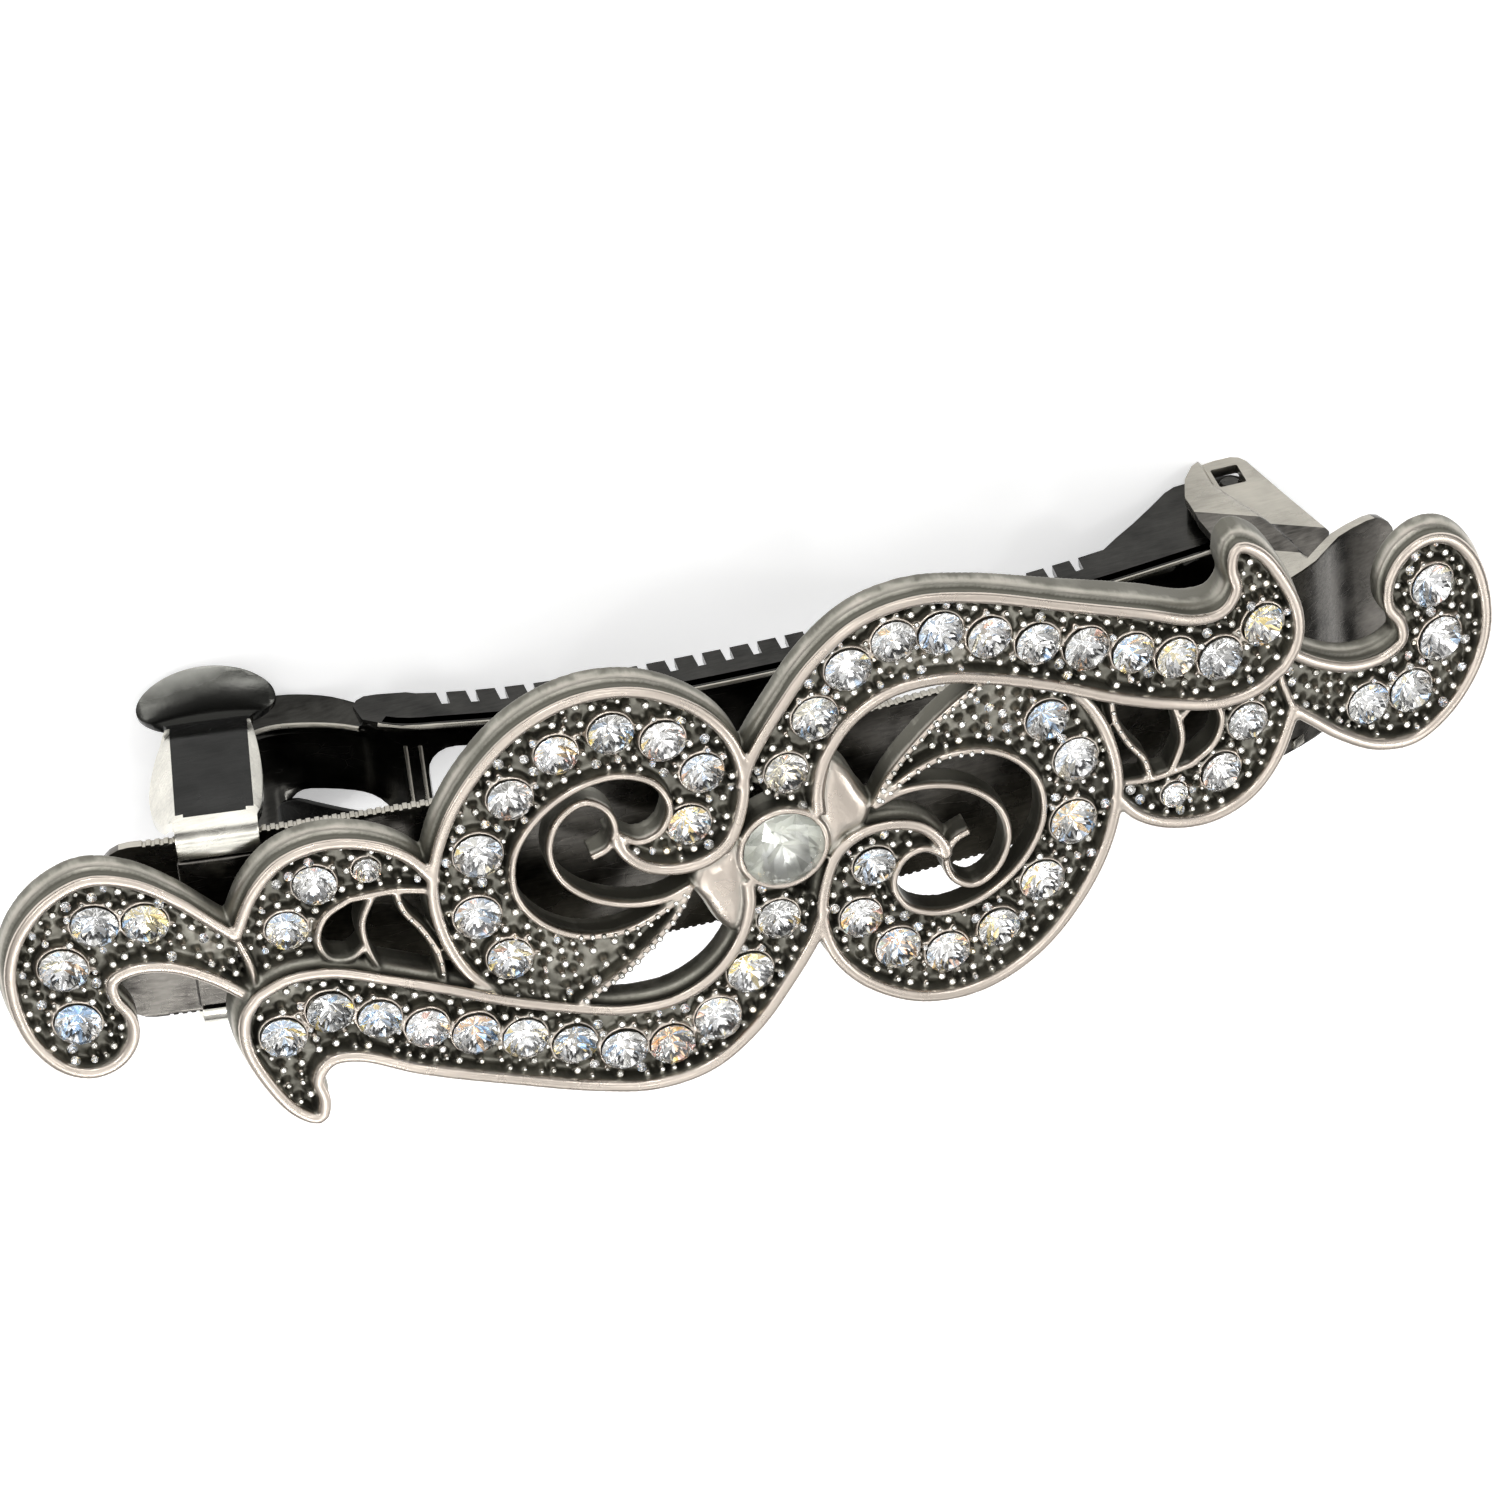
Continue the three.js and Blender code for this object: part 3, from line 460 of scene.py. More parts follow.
SILVER = antique_silver()
CRYSTAL = crystal()
FOIL = foil()
MILKY = milky_foil()
BEAD_METAL = bead_silver()
# The ears and the plate are one nickel sheet, in a pale copy for the ears as painted light and a dark copy for
# the plate as painted shade. The pale copy also paints highlights on the knurled edges, rails and ribs, and the
# bright copy paints them on the prong's wings and foot.
EAR_METAL = sheet_metal("pale_nickel_and_highlight", (0.38, 0.36, 0.315), 0.28)
HIGHLIGHT_METAL = sheet_metal("painted_highlight_nickel", (0.66, 0.64, 0.575), 0.22)
PLATE_METAL = sheet_metal("plate_nickel", (0.10, 0.094, 0.085), 0.24, mottle=0.8)
BAR_METAL = sheet_metal("bar_nickel", (0.035, 0.034, 0.031), 0.17, mottle=0.6)
SPRING_METAL = sheet_metal("spring_steel", (0.02, 0.02, 0.019), 0.2, mottle=0.4)
TAB_METAL = tab_painted_sheen()
PIN_METAL = sheet_metal("pin_steel", (0.2, 0.19, 0.18), 0.25, (6, 1, 6))

# ---- The casting ----

# Heights under the face, and profiles of (offset to the left, z) or, where turned, (radius, z).
BOTTOM = -2.3
FLOOR = -1.4
RIM = [
    (0.5, BOTTOM), (0.53, -1.9), (0.5, -1.4), (0.38, -1.15), (0.17, -1.02), (0.1, -0.8), (0.12, -0.55),
    (0.27, -0.4), (0.39, -0.27), (0.385, -0.13), (0.29, -0.03), (0.1, 0), (-0.1, -0.01), (-0.25, -0.07),
    (-0.33, -0.2), (-0.37, -0.5), (-0.4, BOTTOM),
]
WIRE = [
    (0.27, -1.9), (0.25, -0.5), (0.2, -0.25), (0.08, -0.13), (-0.08, -0.13), (-0.2, -0.25), (-0.25, -0.5),
    (-0.27, -1.9),
]
SEAT = [(0.14, -1.5), (0.13, -0.7), (0.04, -0.5), (-0.06, -0.52), (-0.12, -0.75), (-0.12, -1.5)]
SEAT_GAP = 0.09
MIDDLE_SEAT = [
    (0.3, BOTTOM), (0.3, -0.35), (0.2, -0.1), (0, 0), (-0.14, -0.08), (-0.2, -0.3), (-0.2, -1.2),
    (-0.3, BOTTOM),
]
MIDDLE_SEAT_RADIUS, MIDDLE_FLOOR_RADIUS, MIDDLE_FLOOR = 2.5, 2.6, -2.05
LOBE_LAYERS = [(1, BOTTOM), (1, -0.95), (0.97, -0.7), (0.9, -0.48), (0.76, -0.3), (0.55, -0.2), (0.25, -0.16)]
BEAD_STEM = [(0, -1.6), (0.3, -1.6), (0.2, -0.85), (0.15, -0.6), (0, -0.6)]
VOXEL, QUICK_VOXEL = 0.105, 0.22
# The beads: their radius and how many darts are thrown for it; then the gaps that they keep.
BEAD_SIZES = ((0.25, 800), (0.17, 2400), (0.12, 3600))
BEAD_SPACING, BEAD_TO_EDGE, BEAD_TO_STONE = 0.34, 0.36, 0.1


def flipped(profile):
    return [(-s, z) for s, z in reversed(profile)]


def lifted(verts):
    out = verts.copy()
    up = out[:, 2] > BOTTOM + 0.01
    out[up, 2] += arm_lift(out[up, 0])
    return out


CHANNELS = {
    "arm": np.vstack([smooth(ARM_UPPER), smooth(ARM_TAIL)[1:], smooth(ARM_LOWER)[1:]]),
    "round": np.vstack([smooth(LEAF_EDGE), smooth(ROUND_OUTER), smooth(ROUND_INNER)[1:-1][::-1]]),
    "scroll": np.asarray(SCROLL_FLOOR, float),
    "leaf": smooth(LEAF_OUTLINE),
}
EDGES = {
    "arm": [ARM_UPPER, ARM_TAIL, ARM_LOWER],
    "round": [LEAF_EDGE, ROUND_OUTER, ROUND_INNER],
    "scroll": [SCROLL_OUTER, *SCROLL_WIRES],
    "leaf": [LEAF_OUTLINE],
}
STONES = {"arm": ARM_STONES, "round": ROUND_STONES, "scroll": SCROLL_STONES, "leaf": LEAF_STONES}


def inside(points, polygon):
    x, y = points[:, 0][:, None], points[:, 1][:, None]
    x0, y0 = polygon[:, 0], polygon[:, 1]
    x1, y1 = np.roll(x0, -1), np.roll(y0, -1)
    crosses = ((y0 > y) != (y1 > y)) & (x < (x1 - x0) * (y - y0) / (y1 - y0 + 1e-12) + x0)
    return crosses.sum(1) % 2 == 1


def seeds(channel, rng):
    """Places for the small beads that fill a channel between its stones: x, y, radius."""
    polygon = CHANNELS[channel]
    low, high = polygon.min(0), polygon.max(0)
    edge = np.vstack([smooth(line) for line in EDGES[channel]])
    stones = np.array(STONES[channel] + [MIDDLE_STONE], float)
    kept = np.empty((0, 3))
    for radius, tries in BEAD_SIZES:
        darts = low + (high - low) * rng.random((tries, 2))
        darts = darts[inside(darts, polygon)]
        to_edge = np.sqrt(((darts[:, None] - edge[None]) ** 2).sum(2)).min(1)
        to_stone = (np.sqrt(((darts[:, None] - stones[None, :, :2]) ** 2).sum(2)) - stones[:, 2] / 2).min(1)
        for p in darts[(to_edge > BEAD_TO_EDGE + radius * 0.8) & (to_stone > BEAD_TO_STONE + radius)]:
            if (np.hypot(*(kept[:, :2] - p).T) > kept[:, 2] + radius + BEAD_SPACING).all():
                kept = np.vstack([kept, [*p, radius]])
    return kept


def seat(x, y, d):
    """A thin cup round a stone, standing up from the floor of the channel."""
    return sweep(ring_points(x, y, d / 2 + SEAT_GAP)[::-1], SEAT, closed=True)


def half_casting():
    """The floors, rims, wires, seats and polished lobe of one half."""
    half = Shape()
    arm = [prism(CHANNELS["arm"], BOTTOM, FLOOR), sweep(smooth(ARM_UPPER[:-1] + ARM_TAIL), RIM),
           sweep(smooth(ARM_LOWER), RIM)]
    arm += [seat(*stone) for stone in ARM_STONES]
    for verts, faces in arm:
        half.add(lifted(verts), faces)
    for name in ("round", "scroll", "leaf"):
        half.add(*prism(CHANNELS[name], BOTTOM, FLOOR))
    half.add(*sweep(smooth(ROUND_OUTER), RIM))
    half.add(*sweep(smooth(SCROLL_OUTER), flipped(RIM)))
    half.add(*sweep(smooth(LEAF_OUTLINE), RIM))
    for line in (ROUND_INNER, LEAF_EDGE, SPIRAL, *SCROLL_WIRES):
        half.add(*sweep(smooth(line), WIRE))
    half.add(*dome(smooth(LOBE + [LOBE[0]])[:-1], LOBE_LAYERS))
    for name in ("round", "scroll", "leaf"):
        for stone in STONES[name]:
            half.add(*seat(*stone))
    return half


def highest_near(heights, axis):
    return np.maximum(np.roll(heights, 1, axis), np.roll(heights, -1, axis))


def surroundings(points, normals):
    """How buried each point is, 0 to 1, and how far it lies under the top of its own rim."""
    cell, margin, empty, directions = 0.12, 3, -12.0, 14
    low = points[:, :2].min(0) - margin
    shape = np.ceil((points[:, :2].max(0) + margin - low) / cell).astype(int)
    heights = np.full(shape, empty)
    at = ((points[:, :2] - low) / cell).astype(int)
    np.maximum.at(heights, (at[:, 0], at[:, 1]), points[:, 2])
    for _ in range(2):
        for axis in (0, 1):
            heights = np.where(heights < empty + 1, highest_near(heights, axis), heights)
    total = np.zeros(len(points))
    for k in range(directions):
        a = 2 * math.pi * (k + 0.5) / directions
        horizon = np.zeros(len(points))
        for r in (0.22, 0.4, 0.65, 1.0, 1.5, 2.2):
            q = points[:, :2] + r * np.array([math.cos(a), math.sin(a)]) + 0.06 * normals[:, :2]
            i = np.clip(((q - low) / cell).astype(int), 0, np.array(shape) - 1)
            rise = heights[i[:, 0], i[:, 1]] - points[:, 2]
            horizon = np.maximum(horizon, rise / np.hypot(rise, r))
        total += np.clip(horizon, 0, 1)
    local = heights
    for _ in range(4):
        for axis in (0, 1):
            local = np.maximum(local, highest_near(local, axis))
    return total / directions, local[at[:, 0], at[:, 1]] - points[:, 2]


def read(items, name, width, kind=float):
    """A value of every vertex or edge, one row each."""
    values = np.empty(len(items) * width, kind)
    items.foreach_get(name, values)
    return values.reshape(-1, width)


def build_casting(bead_places):
    """The casting fused to one skin, with its wear, tarnish and painted shade as attributes, then bent to the
    arch.
    """
    whole = Shape()
    half = half_casting()
    for side in (1, -1):
        whole.add(half.points() * (side, side, 1), half.f)
        for name, found in bead_places[side].items():
            for x, y, r in found:
                verts, faces = lathe(BEAD_STEM, 10)
                verts += (x, y, 0)
                verts = lifted(verts) if name == "arm" else verts
                whole.add(verts * (side, side, 1), faces)
    whole.add(*prism(ring_points(0, 0, MIDDLE_FLOOR_RADIUS), BOTTOM, MIDDLE_FLOOR))
    whole.add(*sweep(ring_points(0, 0, MIDDLE_SEAT_RADIUS)[::-1], MIDDLE_SEAT, closed=True))
    obj = make_object("openwork_casting", whole.points(), whole.f, [SILVER],
                      replaces=["ornament_casting"])
    voxel, rounds = ((VOXEL, 4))
    modify(obj, "REMESH", mode="VOXEL", voxel_size=voxel, use_smooth_shade=True)
    modify(obj, "SMOOTH", factor=0.5, iterations=rounds)
    apply_modifiers(obj)
    mesh = obj.data
    points = read(mesh.vertices, "co", 3)
    normals = read(mesh.vertices, "normal", 3, np.float32)
    edges = read(mesh.edges, "vertices", 2, int)

    def sum_of_neighbours(values):
        total = np.zeros(values.shape)
        for a, b in ((0, 1), (1, 0)):
            np.add.at(total, edges[:, a], values[edges[:, b]])
        return total

    degree = sum_of_neighbours(np.ones(len(points)))
    outward = ((points - sum_of_neighbours(points) / degree[:, None]) * normals).sum(1)
    convex = np.clip(outward / 0.02, 0, 1)
    for _ in range(2):
        convex = 0.5 * convex + 0.5 * sum_of_neighbours(convex) / degree
    # The seats of the stones are less worn than the rims.
    for side in (1, -1):
        for x, y, d in ARM_STONES + ROUND_STONES + SCROLL_STONES + LEAF_STONES:
            away = np.hypot(points[:, 0] - side * x, points[:, 1] - side * y) - d / 2
            convex *= np.clip((away - 0.25) / 0.1, 0.25, 1)
    buried, depth = surroundings(points, normals)
    # Points on the upright walls in the groove under the rim. These and the occlusion darken the silver as patina
    # and painted shade.
    upright_side = np.clip((0.8 - np.abs(normals[:, 2])) / 0.25, 0, 1)
    groove_patina_and_shade = upright_side * np.clip((depth - 0.32) / 0.14, 0, 1) * np.clip((1.2 - depth) / 0.14, 0, 1)
    for name, values in (("occlusion", buried), ("convex", convex), ("groove_patina_and_shade", groove_patina_and_shade)):
        mesh.attributes.new(name, "FLOAT", "POINT").data.foreach_set("value", values.astype(np.float32))
    points[:, 2] -= arch_drop(points[:, 0])
    mesh.vertices.foreach_set("co", to_part(points).ravel())
    mesh.update()


# ---- Stones ----

STONE_GROWTH, STONE_SUNK = 1.05, 0.32
GIRDLE, TABLE = 0.05, 0.56
CHIP_SHARE = 0.2
BEAD_ANGLES = (-35, -15, 5, 25, 42, 58, 72, 83)
# Rows of grains along the wires, and how large they are.
MILGRAIN = [(smooth(LEAF_EDGE, 0.62)[1:], 0.2), (smooth(ROUND_INNER[:4], 0.66)[1:], 0.17),
            (smooth(SCROLL_WIRES[1], 0.7)[1:-1], 0.13)]


def brilliant(diameter, depth, crown):
    """A round cut stone with its girdle at z = 0: vertices, crown faces and back faces."""
    r = diameter / 2

    def ring(count, start, radius, z):
        turns = [(k * 8 / count + start) * math.pi / 4 for k in range(count)]
        return [(radius * math.cos(t), radius * math.sin(t), z) for t in turns]

    verts = ring(8, 0, TABLE * r, crown) + ring(8, 0.5, 0.80 * r, crown * 0.56)
    verts += ring(16, 0, r, GIRDLE) + ring(16, 0, r, -GIRDLE)
    verts += ring(8, 0.5, 0.36 * r, -depth * 0.70) + [(0, 0, -depth)]
    # Where each ring starts: star, girdle's top and bottom, pavilion, culet. The table starts at 0.
    S, G, H, P, C = 8, 16, 32, 48, 56
    top, back = [tuple(range(8))], []
    for k in range(8):
        g0, g1, g2 = 2 * k, 2 * k + 1, (2 * k + 2) % 16
        before = (k - 1) % 8
        top += [(k, S + k, (k + 1) % 8), (k, S + before, G + g0, S + k), (S + k, G + g0, G + g1),
                (S + k, G + g1, G + g2)]
        back += [(H + g0, P + k, H + g1), (H + g1, P + k, H + g2), (H + g0, P + before, C, P + k)]
    top += [(G + k, H + k, H + (k + 1) % 16, G + (k + 1) % 16) for k in range(16)]
    return np.array(verts, float), top, back


def add_stone(shape, tints, rng, x, y, diameter, side, lift=0.0, depth=0.84, crown=None, tilt=2.0):
    """Adds a stone turned and tilted by chance, and its facets' tints; returns the faces' materials."""
    crown = crown or 0.22 * diameter + 0.1
    verts, top, back = brilliant(STONE_GROWTH * diameter, depth, crown)
    spin = Matrix.Rotation(rng.random() * math.pi, 3, "Z")
    lean = Matrix.Rotation(math.radians(rng.normal(0, tilt)), 3, "X") @ Matrix.Rotation(
        math.radians(rng.normal(0, tilt)), 3, "Y")
    arch = Matrix.Rotation(math.atan(side * x / ARCH_RADIUS), 3, "Y")
    turn = np.array(arch @ lean @ spin)
    shape.add(verts @ turn.T + (side * x, side * y, lift - STONE_SUNK - arch_drop(x)), top + back)
    tints += [0.5] * len(top) + list(rng.random(len(back)))
    return [0] * len(top) + [1] * len(back)


def finish_stones(obj, tints, slots):
    obj.data.polygons.foreach_set("material_index", slots)
    obj.data.attributes.new("facet", "FLOAT", "FACE").data.foreach_set("value", np.array(tints, np.float32))
    face_outwards(obj.data)


def stone_object(node, stones, side, rng, lift=None, foil=FOIL, **more):
    """The cut stones that stand in for one CAD node."""
    shape, tints, slots = Shape(), [], []
    for x, y, d in stones:
        slots += add_stone(shape, tints, rng, x, y, d, side, lift(x) if lift else 0.0, **more)
    obj = make_object(node + "_cut", to_part(shape.points()), shape.f, [CRYSTAL, foil],
                      replaces=[node], shade_smooth=False)
    finish_stones(obj, tints, slots)


def build_stones():
    rng = np.random.default_rng(11)
    stone_object("middle_stone", [MIDDLE_STONE], 1, rng, lambda x: 0.25, MILKY, depth=1.75,
                 crown=0.2 * MIDDLE_STONE[2] + 0.1, tilt=0.5)
    for where, side in SIDES:
        for i, stone in enumerate(ARM_STONES, 1):
            stone_object(f"arm_stone_{where}_{i}", [stone], side, rng, lambda x: float(arm_lift(x)))
        for i, stone in enumerate(ROUND_STONES, 1):
            stone_object(f"scroll_stone_{where}_{i}", [stone], side, rng)
        stone_object(f"small_scroll_stones_{where}", SCROLL_STONES, side, rng)
        stone_object(f"leaf_stones_{where}", LEAF_STONES, side, rng)


def ball(radius, degrees, low):
    """The profile of a small ball, closed at the height low."""
    arc = [(radius * math.cos(t), radius * math.sin(t)) for t in np.radians(degrees)]
    return [(0, low), *arc, (0, radius)]


def build_seeds(places):
    """Beads and tiny cut stones between the larger ones, and rows of grains along the wires."""
    rng = np.random.default_rng(5)
    for where, side in SIDES:
        beads, chips, tints, slots = Shape(), Shape(), [], []
        for row, size in MILGRAIN:
            for x, y in row:
                r = size * rng.uniform(0.75, 1.15)
                verts, faces = lathe(ball(r, range(-60, 90, 25), -r), 12)
                beads.add(verts + (side * x, side * y, -0.15 - arch_drop(x)), faces)
        for name, found in places[side].items():
            for x, y, r in found:
                lift = float(arm_lift(x)) if name == "arm" else 0.0
                if rng.random() < CHIP_SHARE:
                    slots += add_stone(chips, tints, rng, x, y, 2.2 * r, side, lift - 0.04, depth=0.8 * r,
                                       crown=0.5 * r, tilt=9.0)
                    continue
                verts, faces = lathe([(q, z * 0.9) for q, z in ball(r, BEAD_ANGLES, -0.7 * r)], 12)
                beads.add(verts + (side * x, side * y, lift - 0.52 - arch_drop(x)), faces)
        make_object(f"seed_beads_{where}", to_part(beads.points()), beads.f, [BEAD_METAL])
        obj = make_object(f"seed_stones_{where}", to_part(chips.points()), chips.f, [CRYSTAL, FOIL],
                          shade_smooth=False)
        finish_stones(obj, tints, slots)


# ---- The clip ----

# Side profiles of (x, z). The clip lies CLIP_Y off the ornament's middle line.
CLIP_Y = -1.275
PLATE_Z = -5.05
PLATE_LINE = [(x, PLATE_Z - arch_drop(x)) for x in np.arange(-38, 33.1, 3)]
PLATE_LINE += [(35, -9.7), (36.9, -11.5), (39.4, -12.6), (41.4, -13.2)]
BAR_LINE = [
    (-31.6, -17.9), (-29.8, -18), (-27.8, -18.8), (-25.4, -19.3), (-21.8, -18), (-18.6, -15.6),
    (-15.8, -14.7), (-12.5, -13.8), (-8, -13.05), (-1, -12.5), (5, -12.3), (12, -12.4), (18, -12.8),
    (24, -13.4), (30.6, -14.3),
]
SPRING_LINE = [
    (-26.4, -15.6), (-24.4, -13.4), (-21, -10.6), (-17, -8.5), (-13, -7.2), (-8, -6.4), (0, -6.05),
    (8, -6.25), (14, -6.75), (19, -7.75), (23, -9.7), (26.4, -12.3),
]
PIN_X, PIN_Z, PIN_RADIUS = 33.2, -19.8, 0.65
CATCH_X = -30.9
SHEET = 0.6

PLATE_HALF_WIDTH, PLATE_THICKNESS = 5.975, 0.58
KNURL_PITCH, KNURL_DEPTH = 0.5, 0.09
DENT_X, DENT_DEPTH = 39.05, 0.5
EAR = [
    (32.6, -7.9), (30.6, -13.2), (30, -15.6), (29.95, -18.1), (30.5, -19.9), (31.3, -21.1), (32.1, -21.65),
    (32.9, -21.8), (33.9, -21.8), (34.35, -21.55), (34.65, -21), (34.8, -20.3), (35.7, -16.4),
    (36.8, -11.9), (36.3, -10.9), (34.8, -9.4),
]
EAR_HOLE = [
    (32.35, -20.8), (32.45, -20.9), (33.9, -20.9), (34, -20.8), (34, -19), (33.9, -18.9),
    (32.45, -18.9), (32.35, -19),
]
# The ear is drawn sheared about EAR_X, so that its cuts follow the slanting fold between two levels.
EAR_X, EAR_Y, EAR_SHEAR, EAR_FOLD, EAR_LEAN, EAR_BORDER = 32.4, 5.775, 0.6, (-14.9, -12.2), 0.75, 0.45

BAR_HALF_WIDTH, TIP_HALF_WIDTH, FLANGE_Y = 5.175, 4.375, 4.875
BAR_PLAN = [
    (-31.3, 2.4), (-31.1, 3.4), (-30.5, 4.1), (-29.6, TIP_HALF_WIDTH), (-21.3, TIP_HALF_WIDTH), (-20.6, 4.55),
    (-20, 5), (-19.4, BAR_HALF_WIDTH), (30.4, BAR_HALF_WIDTH),
]
KNUCKLE = [
    (31.6, -14.5), (33, -15.4), (34.2, -17.1), (34.8, -19.2), (34.5, -20.6), (33.7, -21.3), (32.4, -21.5),
    (31.2, -21.5), (30.2, -21.4), (29.5, -21), (28.3, -19.9), (26.8, -18.6), (25.5, -17.6),
]
FIRST_TOOTH_X, LAST_TOOTH_X, TOOTH_PITCH, TOOTH_TIP, TOOTH_ROOT = 22.75, -15.4, 1.65, 3.15, 1.9
RIB_XS = (-18.35, -17.55)

# The prong's profile of (out from the middle, z), from its foot on the plate to the end of its tab.
PRONG_LINE = smooth([
    (5.25, 0.86), (5.75, 0.86), (6.2, 0.62), (6.5, 0.1), (6.625, -0.8), (6.64, -3), (6.64, -6), (6.6, -8.8),
    (6.35, -10), (6.3, -10.9), (6.75, -11.75), (7.6, -12.6), (8.6, -13.3),
], 0.1)
FOOT_HALF_WIDTH, PRONG_HALF_WIDTH, PRONG_WINGS, PRONG_BEND = 2.35, 2.4, (0.45, 1.4), 1.9
TAB_LENGTH, TAB_HALF_WIDTH = 3.9, 4.05

COLLAR_Y, PIN_END = 4.4, 5.75
PIN = [
    (0, -PIN_END), (0.5, -PIN_END), (0.62, -PIN_END + 0.12), (0.65, -PIN_END + 0.3), (0.65, -COLLAR_Y),
    (1, -COLLAR_Y), (1.1, -COLLAR_Y + 0.1), (1.1, COLLAR_Y - 0.1), (1, COLLAR_Y), (0.65, COLLAR_Y),
    (0.65, PIN_END - 0.3), (0.62, PIN_END - 0.12), (0.5, PIN_END), (0, PIN_END),
]
POST_X, POST_Y = 17.7, -1.2
POST = [
    (0, -4.55), (1.75, -4.55), (1.62, -4.4), (1.4, -4.1), (1.3, -3.6), (1.32, -3.1), (1.5, -2.75),
    (1.8, -2.5), (1.9, -2.4), (0, -2.4),
]


def flat_part(outline, holes, thickness, columns, bevel, segments=2, rows=()):
    """A bevelled plate with its middle at z = 0: outline and holes, cut at columns of x and rows of y."""
    bm = bmesh.new()
    edges = []
    for loop in [outline, *holes]:
        vs = [bm.verts.new((x, y, 0)) for x, y in loop]
        edges += [bm.edges.new((vs[i], vs[(i + 1) % len(vs)])) for i in range(len(vs))]
    bmesh.ops.triangle_fill(bm, use_beauty=True, use_dissolve=True, edges=edges)
    for middle, normal in [((x, 0, 0), (1, 0, 0)) for x in columns] + [((0, y, 0), (0, 1, 0)) for y in rows]:
        geom = bm.verts[:] + bm.edges[:] + bm.faces[:]
        bmesh.ops.bisect_plane(bm, geom=geom, dist=1e-5, plane_co=middle, plane_no=normal)
    bmesh.ops.recalc_face_normals(bm, faces=bm.faces)
    mesh = bpy.data.meshes.new("flat")
    bm.to_mesh(mesh)
    bm.free()
    obj = new_object("flat", mesh)
    modify(obj, "SOLIDIFY", thickness=thickness, offset=0)
    modify(obj, "BEVEL", width=bevel, segments=segments, limit_method="ANGLE", angle_limit=math.radians(40))
    apply_modifiers(obj)
    mesh = obj.data
    verts = np.array([v.co for v in mesh.vertices])
    faces = [tuple(p.vertices) for p in mesh.polygons]
    bpy.data.objects.remove(obj)
    bpy.data.meshes.remove(mesh)
    return verts, faces


def bend_along(verts, line):
    """Lays a flat part along a side profile: x stays, and its height goes square to the profile."""
    curve = smooth(line, 0.5)
    z = np.interp(verts[:, 0], curve[:, 0], curve[:, 1])
    slope = np.gradient(curve[:, 1], curve[:, 0])
    angle = np.arctan(np.interp(verts[:, 0], curve[:, 0], slope))
    out = verts.copy()
    out[:, 0] -= verts[:, 2] * np.sin(angle)
    out[:, 2] = z + verts[:, 2] * np.cos(angle)
    return out


def rounded_outline(left, right, half, radius):
    """A rectangle with six points round each corner, from its right upper corner anticlockwise."""
    quarter = np.linspace(0, math.pi / 2, 6)
    corners = [(right - radius, half - radius, 0), (left + radius, half - radius, 1),
               (left + radius, radius - half, 2), (right - radius, radius - half, 3)]
    return [(x + radius * math.cos(t + q * math.pi / 2), y + radius * math.sin(t + q * math.pi / 2))
            for x, y, q in corners for t in quarter]


def upright(verts, y):
    """A flat part drawn in X and Z, stood up at a value of Y."""
    return np.stack([verts[:, 0], y + verts[:, 2], verts[:, 1]], 1)


def solid_object(name, parts, materials, node, body="frame", shift=CLIP_Y):
    """Joins parts of (verts, faces, material number or numbers) into one object."""
    shape, numbers = Shape(), []
    for verts, faces, number in parts:
        shape.add(verts + (0, shift, 0), faces)
        numbers += number if isinstance(number, list) else [number] * len(faces)
    obj = make_object(name, to_part(shape.points()), shape.f, materials, body, [node])
    obj.data.polygons.foreach_set("material_index", numbers)
    face_outwards(obj.data)
    obj.data.set_sharp_from_angle(angle=math.radians(38))
    modify(obj, "WEIGHTED_NORMAL", keep_sharp=True)
    apply_modifiers(obj)


def build_plate():
    """The knurled plate with a dent near its broad end, and its two ears."""
    half, notch = PLATE_HALF_WIDTH, PLATE_HALF_WIDTH - KNURL_DEPTH
    edge = []
    for x in np.arange(-35.4, 31.6, KNURL_PITCH):
        edge += [(x, half), (x + KNURL_PITCH * 0.5, half), (x + KNURL_PITCH * 0.6, notch),
                 (x + KNURL_PITCH * 0.9, notch)]
    corner = rounded_outline(-37.7, 40.9, half, 1.8)
    outline = corner[:6] + edge[::-1] + corner[6:18] + [(x, -y) for x, y in edge] + corner[18:]
    verts, faces = flat_part(outline, [], PLATE_THICKNESS, np.arange(-37, 41, 1.0), 0.1,
                             rows=(-5.7, -3, 0, 3, 5.7))
    verts = bend_along(verts, PLATE_LINE)
    verts[:, 2] += DENT_DEPTH * np.exp(-((verts[:, 0] - DENT_X) ** 2 + (verts[:, 1] + CLIP_Y) ** 2) / 1.1)
    # The knurled edges take the pale nickel as a painted highlight.
    painted_light = [int(abs(verts[list(face), 1]).min() > half - 0.13) for face in faces]
    parts = [(verts, faces, painted_light)]

    def sheared(points):
        return [(x, z - EAR_SHEAR * (x - EAR_X)) for x, z in points]

    low, high = EAR_FOLD
    rows = sorted([*np.arange(-22.5, -9.5, 0.35), low, high])
    verts, faces = flat_part(sheared(EAR), [sheared(EAR_HOLE)], SHEET, np.arange(30.1, 36.7, 0.25), 0.15, 3,
                             rows)
    level = verts[:, 1].copy()
    verts[:, 1] += EAR_SHEAR * (verts[:, 0] - EAR_X)
    # The fold leans in to the plate, and a border beside the pin's hole is raised.
    lean = EAR_LEAN * np.clip((level - low) / (high - low), 0, 1) ** 1.5
    border_x = 32.1 + 0.36 * np.clip(verts[:, 1] + 18.9, 0, 9)
    border = EAR_BORDER * np.clip((border_x - verts[:, 0]) / 0.3, 0, 1)
    # Faces in the fold take the plate's dark nickel as painted shade, the rest the pale nickel.
    lit_not_shaded = [int(not low < level[list(face)].mean() < high) for face in faces]
    for side in (1, -1):
        ear = upright(verts, 0)
        ear[:, 1] = side * (EAR_Y + ear[:, 1] - lean + border)
        parts.append((ear, faces, lit_not_shaded))
    solid_object("hinge_plate", parts, [PLATE_METAL, EAR_METAL], "base_plate")


